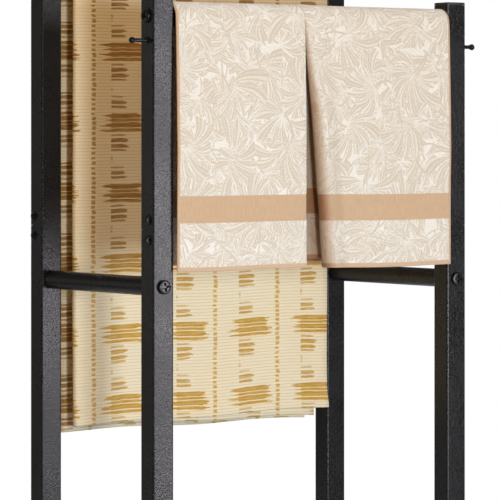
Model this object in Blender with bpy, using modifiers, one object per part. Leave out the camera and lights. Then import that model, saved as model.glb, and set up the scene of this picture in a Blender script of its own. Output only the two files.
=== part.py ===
"""A quilt rack with a folded quilt over its tall back bar and a folded towel over its low front bar.

Four square posts, each of two tubes joined on an inner connector, carry round bars and rails that are
bolted between them. +X runs from the left post to the right one as seen from the front, +Y runs from the
front to the back, and +Z is up. The origin is on the floor, in the middle of the whole object's box.
Every size is in metres.
"""

import math

import bmesh
import bpy
from mathutils import Vector

# Frame: overall sizes
WIDTH_PITCH = 0.382  # between the centre lines of the left and right posts
DEPTH_PITCH = 0.229  # between the centre lines of the front and back posts
FRONT_HEIGHT = 0.680  # floor to the top of a front post's cap
BACK_HEIGHT = 0.975  # floor to the top of a back post's cap

# Posts
POST_SIDE = 0.025
POST_WALL = 0.0012
POST_CORNER = 0.0018
SEAM_HEIGHT = 0.434  # where the lower and the upper tube of a post meet
CONNECTOR_LENGTH = 0.060
CONNECTOR_WALL = 0.0015
JOINT_SCREW_OFFSET = 0.0105  # from the seam to each joint screw

# Caps and feet
CAP_PLATE = 0.003
CAP_CHAMFER = 0.0012
FOOT_PLATE = 0.005
PLUG_LENGTH = 0.008
PLUG_WALL = 0.002

# Round bars and rails
BAR_RADIUS = 0.010
BAR_WALL = 0.0012
END_PLUG = 0.015  # length of the solid plug welded in each end of a bar
BAR_BELOW_TOP = 0.0235  # from a post's top to the centre of the bar it carries
RAIL_BELOW_SEAM = 0.059  # from the seam to the centre of an upper side rail
LOWER_RAIL_HEIGHT = 0.095
CROSSBAR_HEIGHT = 0.055

# Fasteners
BOLT_RADIUS = 0.003
BOLT_HEAD_RADIUS = 0.0074
BOLT_HEAD_HEIGHT = 0.0038
BOLT_GRIP = 0.012  # how far a bolt screws into a bar's end plug
SCREW_RADIUS = 0.0025
SCREW_HEAD_RADIUS = 0.0058
SCREW_HEAD_HEIGHT = 0.0030
SCREW_GRIP = 0.005  # how far a joint screw reaches past the connector's outer face
RECESS_SPAN = 0.7  # the cross recess's width over the head's radius
RECESS_SLOT = 0.16  # its slot's width over the head's radius
RECESS_DEPTH = 0.55  # its depth over the head's height
HEAD_RIM = 0.25  # the height of a head's upright rim over the head's height
TIP_CHAMFER = 0.3  # a shank's end chamfer over its radius

# Side pegs
PEG_BELOW_TOP = 0.049
PEG_REACH = 0.0180  # from the post to the centre of the ball
PEG_BALL_RADIUS = 0.0034
PEG_STEM_RADIUS = 0.0021
PEG_COLLAR_RADIUS = 0.0038
PEG_COLLAR_HEIGHT = 0.0014
PEG_THREAD_RADIUS = 0.002
PEG_THREAD_LENGTH = 0.006

# Cloths
TOWEL_THICKNESS = 0.0078
TOWEL_FRONT_DROP = 0.2655  # from the bar's centre to the bottom of the front leaf
TOWEL_REAR_DROP = 0.2605
TOWEL_LEFT_MARGIN = 0.001  # between the left posts' inner faces and the towel
TOWEL_RIGHT_MARGIN = 0.002
QUILT_THICKNESS = 0.0076
QUILT_FRONT_DROP = 0.7335  # from the bar's centre to the bottom of the front leaf
QUILT_REAR_DROP = 0.7460
QUILT_LEFT_MARGIN = 0.0145
QUILT_RIGHT_MARGIN = 0.005

# Clearances
TOUCH_GAP = 0.0003  # between two faces that seat on each other, and around a shank in its hole
CLOTH_GAP = 0.0004  # between a bar and the cloth that hangs over it

# Roundness
BAR_SIDES = 24
FASTENER_SIDES = 12
DOME_STEPS = 3
BALL_STEPS = 6
CORNER_STEPS = 4
CHAMFER_STEPS = 2
SMOOTH_ANGLE = math.radians(35)
HOLE_SIDES = 12
CLOTH_BEND_STEPS = 12

SIDES = {"left": -1, "right": 1}
HALF_CLEAR_WIDTH = (WIDTH_PITCH - POST_SIDE) / 2
TOWEL_OUTER_RADIUS = BAR_RADIUS + CLOTH_GAP + TOWEL_THICKNESS
QUILT_OUTER_RADIUS = BAR_RADIUS + CLOTH_GAP + QUILT_THICKNESS
BOLT_OUTER_REACH = POST_SIDE / 2 + TOUCH_GAP + BOLT_HEAD_HEIGHT
FRONT_REACH = max(TOWEL_OUTER_RADIUS, BOLT_OUTER_REACH)
BACK_REACH = max(QUILT_OUTER_RADIUS, BOLT_OUTER_REACH)
BACK_Y = (DEPTH_PITCH + FRONT_REACH - BACK_REACH) / 2
ROWS = {"front": (BACK_Y - DEPTH_PITCH, FRONT_HEIGHT), "back": (BACK_Y, BACK_HEIGHT)}
RAIL_HEIGHTS = {"upper": SEAM_HEIGHT - RAIL_BELOW_SEAM, "lower": LOWER_RAIL_HEIGHT}


def clear_scene():
    for obj in list(bpy.data.objects):
        bpy.data.objects.remove(obj, do_unlink=True)


def make_collection(name):
    collection = bpy.data.collections.new(name)
    bpy.context.scene.collection.children.link(collection)
    return collection


def make_material(name, colour, roughness, metallic=0.0):
    material = bpy.data.materials.new(name)
    material.use_nodes = True
    shader = material.node_tree.nodes["Principled BSDF"]
    shader.inputs["Base Color"].default_value = (*colour, 1.0)
    shader.inputs["Roughness"].default_value = roughness
    shader.inputs["Metallic"].default_value = metallic
    return material


def add_object(name, mesh, material, location, rotation=(0.0, 0.0, 0.0)):
    """One named part in the parts collection."""
    obj = bpy.data.objects.new(name, mesh)
    PARTS.objects.link(obj)
    if not mesh.materials:
        mesh.materials.append(material)
    obj.location = location
    obj.rotation_euler = rotation
    return obj


def box_mesh(name, size):
    mesh = bpy.data.meshes.new(name)
    shape = bmesh.new()
    bmesh.ops.create_cube(shape, size=1.0)
    bmesh.ops.scale(shape, vec=Vector(size), verts=shape.verts)
    shape.to_mesh(mesh)
    shape.free()
    return mesh


def add_cutter(name, mesh, location, rotation=(0.0, 0.0, 0.0)):
    """A hidden helper for a Boolean, kept out of the parts."""
    obj = bpy.data.objects.new(name, mesh)
    CUTTERS.objects.link(obj)
    obj.location = location
    obj.rotation_euler = rotation
    obj.display_type = "WIRE"
    obj.hide_render = True
    return obj


def rod_cutter(name, radius, length, location, direction):
    """A round cutter whose axis lies along direction."""
    mesh = bpy.data.meshes.new(name)
    shape = bmesh.new()
    bmesh.ops.create_cone(
        shape, cap_ends=True, segments=HOLE_SIDES, radius1=radius, radius2=radius, depth=length
    )
    shape.to_mesh(mesh)
    shape.free()
    return add_cutter(name, mesh, location, Vector(direction).to_track_quat("Z", "Y").to_euler())


def cut(obj, cutter, operation="DIFFERENCE"):
    modifier = obj.modifiers.new(cutter.name, "BOOLEAN")
    modifier.operation = operation
    modifier.solver = "EXACT"
    modifier.object = cutter


def finished_mesh(obj):
    """The object's mesh with its modifiers applied, for the parts that share it. The object goes."""
    bpy.context.view_layer.update()
    mesh = bpy.data.meshes.new_from_object(obj.evaluated_get(bpy.context.evaluated_depsgraph_get()))
    mesh.name = obj.name
    bpy.data.objects.remove(obj, do_unlink=True)
    return mesh


def turned_mesh(name, profile, sides, material, closed=False, recess=None):
    """A profile of (radius, height) points, from the top down its outer side, turned about Z."""
    mesh = bpy.data.meshes.new(name)
    edges = [(i, i + 1) for i in range(len(profile) - 1)]
    if closed:
        edges.append((len(profile) - 1, 0))
    mesh.from_pydata([(radius, 0.0, height) for radius, height in profile], edges, [])
    obj = add_object(name, mesh, material, (0.0, 0.0, 0.0))
    screw = obj.modifiers.new("turn", "SCREW")
    screw.steps = sides
    screw.render_steps = sides
    screw.use_merge_vertices = True
    screw.merge_threshold = 0.00001
    if recess:
        for cutter in recess:
            cut(obj, cutter)
    turned = finished_mesh(obj)
    turned.shade_smooth()
    turned.set_sharp_from_angle(angle=SMOOTH_ANGLE)
    return turned


def cross_recess(name, head_radius, head_height):
    """Two crossed slots in the top of a head."""
    span, slot, depth = RECESS_SPAN * head_radius, RECESS_SLOT * head_radius, RECESS_DEPTH * head_height
    centre = (0.0, 0.0, head_height)
    sizes = [(span, slot, 2 * depth), (slot, span, 2 * depth)]
    return [
        add_cutter(f"{name}_slot_{i}", box_mesh(f"{name}_slot_{i}", size), centre)
        for i, size in enumerate(sizes)
    ]


def fastener_mesh(name, head_radius, head_height, shank_radius, shank_length):
    """A domed head above z = 0 with a shank below it."""
    rim = HEAD_RIM * head_height
    profile = [(0.0, head_height)]
    for step in range(1, DOME_STEPS + 1):
        angle = math.pi / 2 * step / DOME_STEPS
        profile.append(
            (head_radius * math.sin(angle), rim + (head_height - rim) * math.cos(angle))
        )
    tip = TIP_CHAMFER * shank_radius
    profile += [
        (head_radius, 0.0),
        (shank_radius, 0.0),
        (shank_radius, tip - shank_length),
        (shank_radius - tip, -shank_length),
        (0.0, -shank_length),
    ]
    recess = cross_recess(name, head_radius, head_height)
    return turned_mesh(name, profile, FASTENER_SIDES, BOLT_BLACK, recess=recess)


def bar_mesh(name, length):
    """A round tube with a solid plug in each end, and a bolt's bore through each plug."""
    end = length / 2
    bore = BOLT_RADIUS + TOUCH_GAP
    inside = BAR_RADIUS - BAR_WALL
    profile = [
        (BAR_RADIUS, end),
        (BAR_RADIUS, -end),
        (bore, -end),
        (bore, END_PLUG - end),
        (inside, END_PLUG - end),
        (inside, end - END_PLUG),
        (bore, end - END_PLUG),
        (bore, end),
    ]
    return turned_mesh(name, profile, BAR_SIDES, POWDER_BLACK, closed=True)


def peg_mesh():
    """A ball on a stem above z = 0, with a collar at its foot and a thread below it."""
    meet = math.pi - math.asin(PEG_STEM_RADIUS / PEG_BALL_RADIUS)
    profile = []
    for step in range(BALL_STEPS + 1):
        angle = meet * step / BALL_STEPS
        profile.append(
            (PEG_BALL_RADIUS * math.sin(angle), PEG_REACH + PEG_BALL_RADIUS * math.cos(angle))
        )
    profile += [
        (PEG_STEM_RADIUS, PEG_COLLAR_HEIGHT),
        (PEG_COLLAR_RADIUS, PEG_COLLAR_HEIGHT),
        (PEG_COLLAR_RADIUS, 0.0),
        (PEG_THREAD_RADIUS, 0.0),
        (PEG_THREAD_RADIUS, -PEG_THREAD_LENGTH),
        (0.0, -PEG_THREAD_LENGTH),
    ]
    return turned_mesh("peg", profile, FASTENER_SIDES, POWDER_BLACK)


def round_upright_edges(mesh, radius):
    """Rounds the four long corners of a box."""
    shape = bmesh.new()
    shape.from_mesh(mesh)
    upright = [e for e in shape.edges if abs(e.verts[0].co.z - e.verts[1].co.z) > 1e-6]
    bmesh.ops.bevel(
        shape, geom=upright, offset=radius, segments=CORNER_STEPS, profile=0.5, affect="EDGES"
    )
    shape.to_mesh(mesh)
    shape.free()


def cap_mesh(name, plate, chamfer):
    """A square plate whose underside is at z = 0 and whose hollow plug goes down into a post."""
    mesh = box_mesh(name, (POST_SIDE, POST_SIDE, plate))
    round_upright_edges(mesh, POST_CORNER)
    shape = bmesh.new()
    shape.from_mesh(mesh)
    bmesh.ops.translate(shape, vec=(0.0, 0.0, plate / 2), verts=shape.verts)
    rim = [e for e in shape.edges if min(v.co.z for v in e.verts) > plate - 1e-6]
    bmesh.ops.bevel(
        shape, geom=rim, offset=chamfer, segments=CHAMFER_STEPS, profile=0.5, affect="EDGES"
    )
    shape.to_mesh(mesh)
    shape.free()
    cap = add_object(name, mesh, CAP_BLACK, (0.0, 0.0, 0.0))
    side = POST_SIDE - 2 * POST_WALL - 2 * TOUCH_GAP
    sunk = plate / 2
    plug = box_mesh(f"{name}_plug", (side, side, PLUG_LENGTH + sunk))
    cut(cap, add_cutter(f"{name}_plug", plug, (0.0, 0.0, (sunk - PLUG_LENGTH) / 2)), "UNION")
    pocket_side = side - 2 * PLUG_WALL
    pocket = box_mesh(f"{name}_pocket", (pocket_side, pocket_side, 2 * PLUG_LENGTH))
    cut(cap, add_cutter(f"{name}_pocket", pocket, (0.0, 0.0, -PLUG_LENGTH)))
    return finished_mesh(cap)


def square_tube(name, side, wall, low, high, place, material, corner=0.0):
    """A hollow square tube that stands between two heights."""
    length = high - low
    mesh = box_mesh(name, (side, side, length))
    if corner:
        round_upright_edges(mesh, corner)
    tube = add_object(name, mesh, material, (*place, (low + high) / 2))
    inside = box_mesh(f"{name}_inside", (side - 2 * wall, side - 2 * wall, 2 * length))
    cut(tube, add_cutter(f"{name}_inside", inside, tube.location))
    return tube


def drill(tube, label, radius, place, direction, through):
    """A round hole along direction: through both walls, or through the wall that direction leaves by."""
    start = Vector(place)
    reach = Vector(direction) * POST_SIDE
    centre = start if through else start + reach / 2
    length = 2 * POST_SIDE if through else POST_SIDE
    cut(tube, rod_cutter(f"{tube.name}_{label}", radius, length, centre, direction))


def build_post(row, side):
    """A corner's two tubes, its inner connector, its cap and its foot."""
    y, height = ROWS[row]
    outward = (SIDES[side], 0.0, 0.0)
    x = SIDES[side] * WIDTH_PITCH / 2
    corner = f"{row}_{side}"
    bolt_hole = BOLT_RADIUS + TOUCH_GAP
    screw_hole = SCREW_RADIUS + TOUCH_GAP

    low, high = FOOT_PLATE + TOUCH_GAP, SEAM_HEIGHT - TOUCH_GAP / 2
    lower = square_tube(
        f"{corner}_post_lower", POST_SIDE, POST_WALL, low, high, (x, y), POWDER_BLACK, POST_CORNER
    )
    for name, z in RAIL_HEIGHTS.items():
        drill(lower, f"{name}_rail_hole", bolt_hole, (x, y, z), (0.0, 1.0, 0.0), True)
    drill(lower, "crossbar_hole", bolt_hole, (x, y, CROSSBAR_HEIGHT), outward, True)

    low, high = SEAM_HEIGHT + TOUCH_GAP / 2, height - CAP_PLATE - TOUCH_GAP
    upper = square_tube(
        f"{corner}_post_upper", POST_SIDE, POST_WALL, low, high, (x, y), POWDER_BLACK, POST_CORNER
    )
    drill(upper, "bar_hole", bolt_hole, (x, y, height - BAR_BELOW_TOP), outward, True)
    if row == "front":
        peg_hole = PEG_THREAD_RADIUS + TOUCH_GAP
        drill(upper, "peg_hole", peg_hole, (x, y, height - PEG_BELOW_TOP), outward, False)

    connector = square_tube(
        f"{corner}_connector",
        POST_SIDE - 2 * POST_WALL - 2 * TOUCH_GAP,
        CONNECTOR_WALL,
        SEAM_HEIGHT - CONNECTOR_LENGTH / 2,
        SEAM_HEIGHT + CONNECTOR_LENGTH / 2,
        (x, y),
        DARK_STEEL,
    )
    for tube, offset in ((lower, -JOINT_SCREW_OFFSET), (upper, JOINT_SCREW_OFFSET)):
        drill(tube, "joint_hole", screw_hole, (x, y, SEAM_HEIGHT + offset), outward, False)
    for name, offset in (("lower", -JOINT_SCREW_OFFSET), ("upper", JOINT_SCREW_OFFSET)):
        place = (x, y, SEAM_HEIGHT + offset)
        drill(connector, f"{name}_hole", screw_hole, place, outward, False)
        face = x + SIDES[side] * (POST_SIDE / 2 + TOUCH_GAP)
        turn = (0.0, SIDES[side] * math.pi / 2, 0.0)
        screw_place = (face, y, SEAM_HEIGHT + offset)
        add_object(f"{corner}_joint_screw_{name}", SCREW_MESH, BOLT_BLACK, screw_place, turn)

    add_object(f"{corner}_cap", CAP_MESH, CAP_BLACK, (x, y, height - CAP_PLATE))
    add_object(f"{corner}_foot", FOOT_MESH, CAP_BLACK, (x, y, FOOT_PLATE), (math.pi, 0.0, 0.0))


def build_corner_fasteners(row, side):
    """The bolts that hold a bar, two rails and a crossbar to a post, and the front posts' pegs."""
    y, height = ROWS[row]
    x = SIDES[side] * WIDTH_PITCH / 2
    corner = f"{row}_{side}"
    along = -1 if row == "front" else 1
    rail_face = y + along * (POST_SIDE / 2 + TOUCH_GAP)
    for name, z in RAIL_HEIGHTS.items():
        turn = (-along * math.pi / 2, 0.0, 0.0)
        add_object(f"{corner}_{name}_rail_bolt", BOLT_MESH, BOLT_BLACK, (x, rail_face, z), turn)
    side_face = x + SIDES[side] * (POST_SIDE / 2 + TOUCH_GAP)
    turn = (0.0, SIDES[side] * math.pi / 2, 0.0)
    for name, z in (("bar", height - BAR_BELOW_TOP), ("crossbar", CROSSBAR_HEIGHT)):
        add_object(f"{corner}_{name}_bolt", BOLT_MESH, BOLT_BLACK, (side_face, y, z), turn)
    if row == "front":
        place = (side_face, y, height - PEG_BELOW_TOP)
        add_object(f"{corner}_peg", PEG_MESH, POWDER_BLACK, place, turn)


def build_bars():
    """The two bars that the cloths hang on, the crossbars under them and the side rails."""
    across = (0.0, math.pi / 2, 0.0)
    for row, (y, height) in ROWS.items():
        place = (0.0, y, height - BAR_BELOW_TOP)
        add_object(f"{row}_bar", WIDE_BAR_MESH, POWDER_BLACK, place, across)
        place = (0.0, y, CROSSBAR_HEIGHT)
        add_object(f"{row}_crossbar", WIDE_BAR_MESH, POWDER_BLACK, place, across)
    middle = (ROWS["front"][0] + ROWS["back"][0]) / 2
    for side, sign in SIDES.items():
        for name, z in RAIL_HEIGHTS.items():
            place = (sign * WIDTH_PITCH / 2, middle, z)
            turn = (math.pi / 2, 0.0, 0.0)
            add_object(f"{side}_{name}_side_rail", SIDE_RAIL_MESH, POWDER_BLACK, place, turn)


def build_cloth(name, row, thickness, drops, margins, material):
    """A folded cloth as one solid: an upside-down U over a bar, on an empty at the bar's centre."""
    y, height = ROWS[row]
    left, right = -HALF_CLEAR_WIDTH + margins[0], HALF_CLEAR_WIDTH - margins[1]
    inner = BAR_RADIUS + CLOTH_GAP
    outer = inner + thickness
    turns = [math.pi * step / CLOTH_BEND_STEPS for step in range(CLOTH_BEND_STEPS + 1)]
    outline = [(-outer, -drops[0])]
    outline += [(-outer * math.cos(turn), outer * math.sin(turn)) for turn in turns]
    outline += [(outer, -drops[1]), (inner, -drops[1])]
    outline += [(inner * math.cos(turn), inner * math.sin(turn)) for turn in turns]
    outline += [(-inner, -drops[0])]

    curve = bpy.data.curves.new(name, "CURVE")
    curve.dimensions = "2D"
    curve.fill_mode = "BOTH"
    curve.extrude = (right - left) / 2
    spline = curve.splines.new("POLY")
    spline.points.add(len(outline) - 1)
    for point, (across, up) in zip(spline.points, outline):
        point.co = (across, up, 0.0, 1.0)
    spline.use_cyclic_u = True
    curve.materials.append(material)

    lift = bpy.data.objects.new(f"{name}_lift", None)
    PARTS.objects.link(lift)
    lift.location = (0.0, y, height - BAR_BELOW_TOP)
    cloth = bpy.data.objects.new(name, curve)
    PARTS.objects.link(cloth)
    cloth.parent = lift
    cloth.location = ((left + right) / 2, 0.0, 0.0)
    cloth.rotation_euler = (math.pi / 2, 0.0, math.pi / 2)


clear_scene()
PARTS = make_collection("quilt_rack")
CUTTERS = make_collection("quilt_rack_cutters")

POWDER_BLACK = make_material("powder_black", (0.018, 0.018, 0.019), 0.45)
BOLT_BLACK = make_material("bolt_black", (0.012, 0.012, 0.013), 0.35, 0.6)
CAP_BLACK = make_material("cap_black", (0.016, 0.016, 0.016), 0.5)
DARK_STEEL = make_material("dark_steel", (0.045, 0.045, 0.046), 0.35, 0.4)
TOWEL_COTTON = make_material("towel_cotton", (0.78, 0.71, 0.61), 0.9)
QUILT_COTTON = make_material("quilt_cotton", (0.72, 0.55, 0.30), 0.9)

BOLT_MESH = fastener_mesh(
    "bolt", BOLT_HEAD_RADIUS, BOLT_HEAD_HEIGHT, BOLT_RADIUS, POST_SIDE + BOLT_GRIP
)
SCREW_MESH = fastener_mesh(
    "joint_screw",
    SCREW_HEAD_RADIUS,
    SCREW_HEAD_HEIGHT,
    SCREW_RADIUS,
    POST_WALL + 2 * TOUCH_GAP + SCREW_GRIP,
)
PEG_MESH = peg_mesh()
CAP_MESH = cap_mesh("cap", CAP_PLATE, CAP_CHAMFER)
FOOT_MESH = cap_mesh("foot", FOOT_PLATE, CAP_CHAMFER / 2)
WIDE_BAR_MESH = bar_mesh("wide_bar", WIDTH_PITCH - POST_SIDE - 2 * TOUCH_GAP)
SIDE_RAIL_MESH = bar_mesh("side_rail", DEPTH_PITCH - POST_SIDE - 2 * TOUCH_GAP)

for row_name in ROWS:
    for side_name in SIDES:
        build_post(row_name, side_name)
        build_corner_fasteners(row_name, side_name)
build_bars()
build_cloth(
    "towel",
    "front",
    TOWEL_THICKNESS,
    (TOWEL_FRONT_DROP, TOWEL_REAR_DROP),
    (TOWEL_LEFT_MARGIN, TOWEL_RIGHT_MARGIN),
    TOWEL_COTTON,
)
build_cloth(
    "quilt",
    "back",
    QUILT_THICKNESS,
    (QUILT_FRONT_DROP, QUILT_REAR_DROP),
    (QUILT_LEFT_MARGIN, QUILT_RIGHT_MARGIN),
    QUILT_COTTON,
)
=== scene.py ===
import math

import bmesh
import bpy
import numpy as np
from bpy.props import FloatProperty, FloatVectorProperty, PointerProperty
from mathutils import Matrix, Vector, noise


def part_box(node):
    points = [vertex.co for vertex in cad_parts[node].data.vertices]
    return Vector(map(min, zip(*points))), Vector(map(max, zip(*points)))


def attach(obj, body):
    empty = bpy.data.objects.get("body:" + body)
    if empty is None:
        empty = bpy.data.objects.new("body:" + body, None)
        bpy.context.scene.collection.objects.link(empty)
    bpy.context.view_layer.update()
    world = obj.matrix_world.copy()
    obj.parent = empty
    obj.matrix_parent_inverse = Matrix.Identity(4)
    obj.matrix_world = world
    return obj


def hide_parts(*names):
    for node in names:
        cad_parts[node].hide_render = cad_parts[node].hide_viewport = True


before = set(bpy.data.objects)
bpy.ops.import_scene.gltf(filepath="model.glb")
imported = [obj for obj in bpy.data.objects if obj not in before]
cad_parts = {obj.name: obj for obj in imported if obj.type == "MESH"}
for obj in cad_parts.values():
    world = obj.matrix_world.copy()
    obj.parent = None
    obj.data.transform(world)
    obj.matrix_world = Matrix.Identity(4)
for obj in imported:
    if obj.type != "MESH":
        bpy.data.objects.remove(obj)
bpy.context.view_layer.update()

bl_info = {
    "name": "Quilt Rack",
    "version": (1, 0, 0),
    "blender": (4, 5, 0),
    "location": "3D View > Sidebar > Quilt Rack",
    "description": "Finishes a metal quilt rack and hangs a folded ikat quilt and a pleated towel on it",
    "category": "Object",
}

# The bars and rails that are modelled again: each node, and the name of the new piece
BAR_NODES = {
    "front_bar": "front_bar_tube",
    "back_bar": "back_bar_tube",
    "front_crossbar": "front_crossbar_tube",
    "back_crossbar": "back_crossbar_tube",
    "left_upper_side_rail": "left_upper_rail_tube",
    "right_upper_side_rail": "right_upper_rail_tube",
    "left_lower_side_rail": "left_lower_rail_tube",
    "right_lower_side_rail": "right_lower_rail_tube",
}
CORNERS = ["front_left", "front_right", "back_left", "back_right"]
SMOOTH_ANGLE = math.radians(35)
CAP_SMOOTH_ANGLE = math.radians(25)
LAYER_GAP = 0.0003  # between two layers of a folded cloth
BAR_GAP = 0.0004  # between a bar and the cloth on it


def node_box(name):
    low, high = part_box(name)
    return Vector(low), Vector(high)


def node_centre(name):
    low, high = node_box(name)
    return (low + high) / 2


def node_radius(name):
    """The radius of a bar that lies along X."""
    low, high = node_box(name)
    return (high.z - low.z) / 2


def smooth_step(value):
    value = np.clip(value, 0.0, 1.0)
    return value * value * (3 - 2 * value)


def up_to(value, mark, blur=0.0008):
    """1 up to a mark, and 0 beyond it."""
    return 1 - smooth_step((value - mark) / blur)


# ---------------------------------------------------------------- shader nodes


class NodeBench:
    """Adds nodes to one tree. A value given to a node may be a number, a colour or a socket."""

    def __init__(self, tree):
        self.tree = tree

    def add(self, kind, **settings):
        node = self.tree.nodes.new(kind)
        for key, value in settings.items():
            setattr(node, key, value)
        return node

    def feed(self, socket, value):
        if isinstance(value, bpy.types.NodeSocket):
            self.tree.links.new(value, socket)
        elif socket.type == "RGBA":
            socket.default_value = (*value[:3], 1.0)
        else:
            socket.default_value = value

    def math(self, operation, *values, clamp=False):
        node = self.add("ShaderNodeMath", operation=operation, use_clamp=clamp)
        for socket, value in zip(node.inputs, values):
            self.feed(socket, value)
        return node.outputs[0]

    def plus(self, first, second):
        return self.math("ADD", first, second)

    def minus(self, first, second):
        return self.math("SUBTRACT", first, second)

    def times(self, *values):
        product = values[0]
        for value in values[1:]:
            product = self.math("MULTIPLY", product, value)
        return product

    def times_plus(self, value, factor, added):
        return self.math("MULTIPLY_ADD", value, factor, added)

    def apart(self, first, second):
        """How far apart two values are."""
        return self.math("ABSOLUTE", self.minus(first, second))

    def invert(self, mask):
        return self.minus(1.0, mask)

    def step(self, value, low, high):
        """0 below low, 1 above high, and smooth between them."""
        node = self.add("ShaderNodeMapRange", interpolation_type="SMOOTHSTEP")
        self.feed(node.inputs["Value"], value)
        self.feed(node.inputs["From Min"], low)
        self.feed(node.inputs["From Max"], high)
        return node.outputs["Result"]

    def remap(self, value, low, high, to_low, to_high):
        node = self.add("ShaderNodeMapRange")
        self.feed(node.inputs["Value"], value)
        self.feed(node.inputs["From Min"], low)
        self.feed(node.inputs["From Max"], high)
        self.feed(node.inputs["To Min"], to_low)
        self.feed(node.inputs["To Max"], to_high)
        return node.outputs["Result"]

    def mix(self, factor, first, second, blend="MIX"):
        node = self.add("ShaderNodeMix", data_type="RGBA", blend_type=blend)
        self.feed(node.inputs[0], factor)
        self.feed(node.inputs[6], first)
        self.feed(node.inputs[7], second)
        return node.outputs[2]

    def noise(self, vector, scale, detail=2.0, roughness=0.5):
        node = self.add("ShaderNodeTexNoise")
        self.feed(node.inputs["Vector"], vector)
        self.feed(node.inputs["Scale"], scale)
        self.feed(node.inputs["Detail"], detail)
        self.feed(node.inputs["Roughness"], roughness)
        return node.outputs["Fac"]

    def drawn_noise(self, across, along, per_metre, detail, roughness):
        """Noise with its own number of features to the metre across a cloth and along it."""
        place = self.combine(self.times(across, per_metre[0]), self.times(along, per_metre[1]))
        return self.noise(place, 1.0, detail, roughness)

    def chance(self, first, second):
        """A random number from 0 to 1 for each pair of whole numbers."""
        node = self.add("ShaderNodeTexWhiteNoise", noise_dimensions="2D")
        self.feed(node.inputs["Vector"], self.combine(first, second))
        return node.outputs["Value"]

    def shaded(self, colour, grey):
        """The colour multiplied by a grey."""
        return self.mix(1.0, colour, self.combine(grey, grey, grey), "MULTIPLY")

    def object_place(self):
        return self.add("ShaderNodeTexCoord").outputs["Object"]

    def combine(self, x, y, z=0.0):
        node = self.add("ShaderNodeCombineXYZ")
        for socket, value in zip(node.inputs, (x, y, z)):
            self.feed(socket, value)
        return node.outputs[0]

    def separate(self, vector):
        node = self.add("ShaderNodeSeparateXYZ")
        self.feed(node.inputs[0], vector)
        return node.outputs[0], node.outputs[1], node.outputs[2]

    def bump(self, height, strength, distance, normal=None):
        node = self.add("ShaderNodeBump")
        self.feed(node.inputs["Height"], height)
        self.feed(node.inputs["Strength"], strength)
        self.feed(node.inputs["Distance"], distance)
        if normal is not None:
            self.feed(node.inputs["Normal"], normal)
        return node.outputs["Normal"]

    def use(self, group, **values):
        """Places a node group, with its inputs given by name (an underscore stands for a space)."""
        node = self.add("ShaderNodeGroup", node_tree=group)
        for key, value in values.items():
            self.feed(node.inputs[key.replace("_", " ")], value)
        return node.outputs


def new_group(name, inputs, outputs):
    """A shader node group, its bench, its inputs by name and the function that sets an output."""
    group = bpy.data.node_groups.new(name, "ShaderNodeTree")
    kinds = {"value": "NodeSocketFloat", "colour": "NodeSocketColor", "vector": "NodeSocketVector"}
    for label, kind, default in inputs:
        socket = group.interface.new_socket(label, in_out="INPUT", socket_type=kinds[kind])
        if default is not None:
            socket.default_value = default
    for label, kind in outputs:
        group.interface.new_socket(label, in_out="OUTPUT", socket_type=kinds[kind])
    bench = NodeBench(group)
    entry = bench.add("NodeGroupInput")
    leave = bench.add("NodeGroupOutput")
    return group, bench, entry.outputs, leave.inputs


def new_material(name, slot_colour):
    """An empty Principled material, its bench and its shader."""
    material = bpy.data.materials.new(name)
    material.use_nodes = True
    material.diffuse_color = (*slot_colour, 1.0)
    bench = NodeBench(material.node_tree)
    return material, bench, material.node_tree.nodes["Principled BSDF"]


def make_coat_group():
    """Powder coat: pebbly grain, patchy sheen and a little dust on what faces up."""
    group, bench, entry, leave = new_group(
        "coat_grain",
        [
            ("Colour", "colour", (0.02, 0.02, 0.02, 1.0)),
            ("Dust Colour", "colour", (0.2, 0.19, 0.18, 1.0)),
            ("Roughness", "value", 0.45),
            ("Grain Size", "value", 0.0009),
            ("Dust", "value", 0.1),
        ],
        [("Colour", "colour"), ("Roughness", "value"), ("Height", "value")],
    )
    place = bench.object_place()
    per_metre = bench.math("DIVIDE", 1.0, entry["Grain Size"])
    pebble = bench.noise(place, per_metre, 1.6, 0.5)
    peel = bench.noise(place, bench.times(per_metre, 0.4), 1.0, 0.5)
    patch = bench.noise(place, 14.0, 3.0, 0.55)
    height = bench.times_plus(peel, 0.8, pebble)
    pits = bench.step(pebble, 0.38, 0.62)
    shade = bench.remap(pits, 0.0, 1.0, 0.72, 1.22)
    shade = bench.times(shade, bench.remap(patch, 0.3, 0.7, 0.9, 1.1))
    tinted = bench.shaded(entry["Colour"], shade)
    up = bench.separate(bench.add("ShaderNodeNewGeometry").outputs["Normal"])[2]
    settled = bench.times(bench.step(up, 0.35, 1.0), bench.step(patch, 0.35, 0.75))
    settled = bench.times(settled, entry["Dust"])
    bench.feed(leave["Colour"], bench.mix(settled, tinted, entry["Dust Colour"]))
    rough = bench.plus(entry["Roughness"], bench.remap(patch, 0.3, 0.7, -0.05, 0.06))
    rough = bench.times_plus(pits, 0.06, rough)
    bench.feed(leave["Roughness"], bench.math("MULTIPLY_ADD", settled, 0.3, rough, clamp=True))
    bench.feed(leave["Height"], height)
    return group


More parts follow.
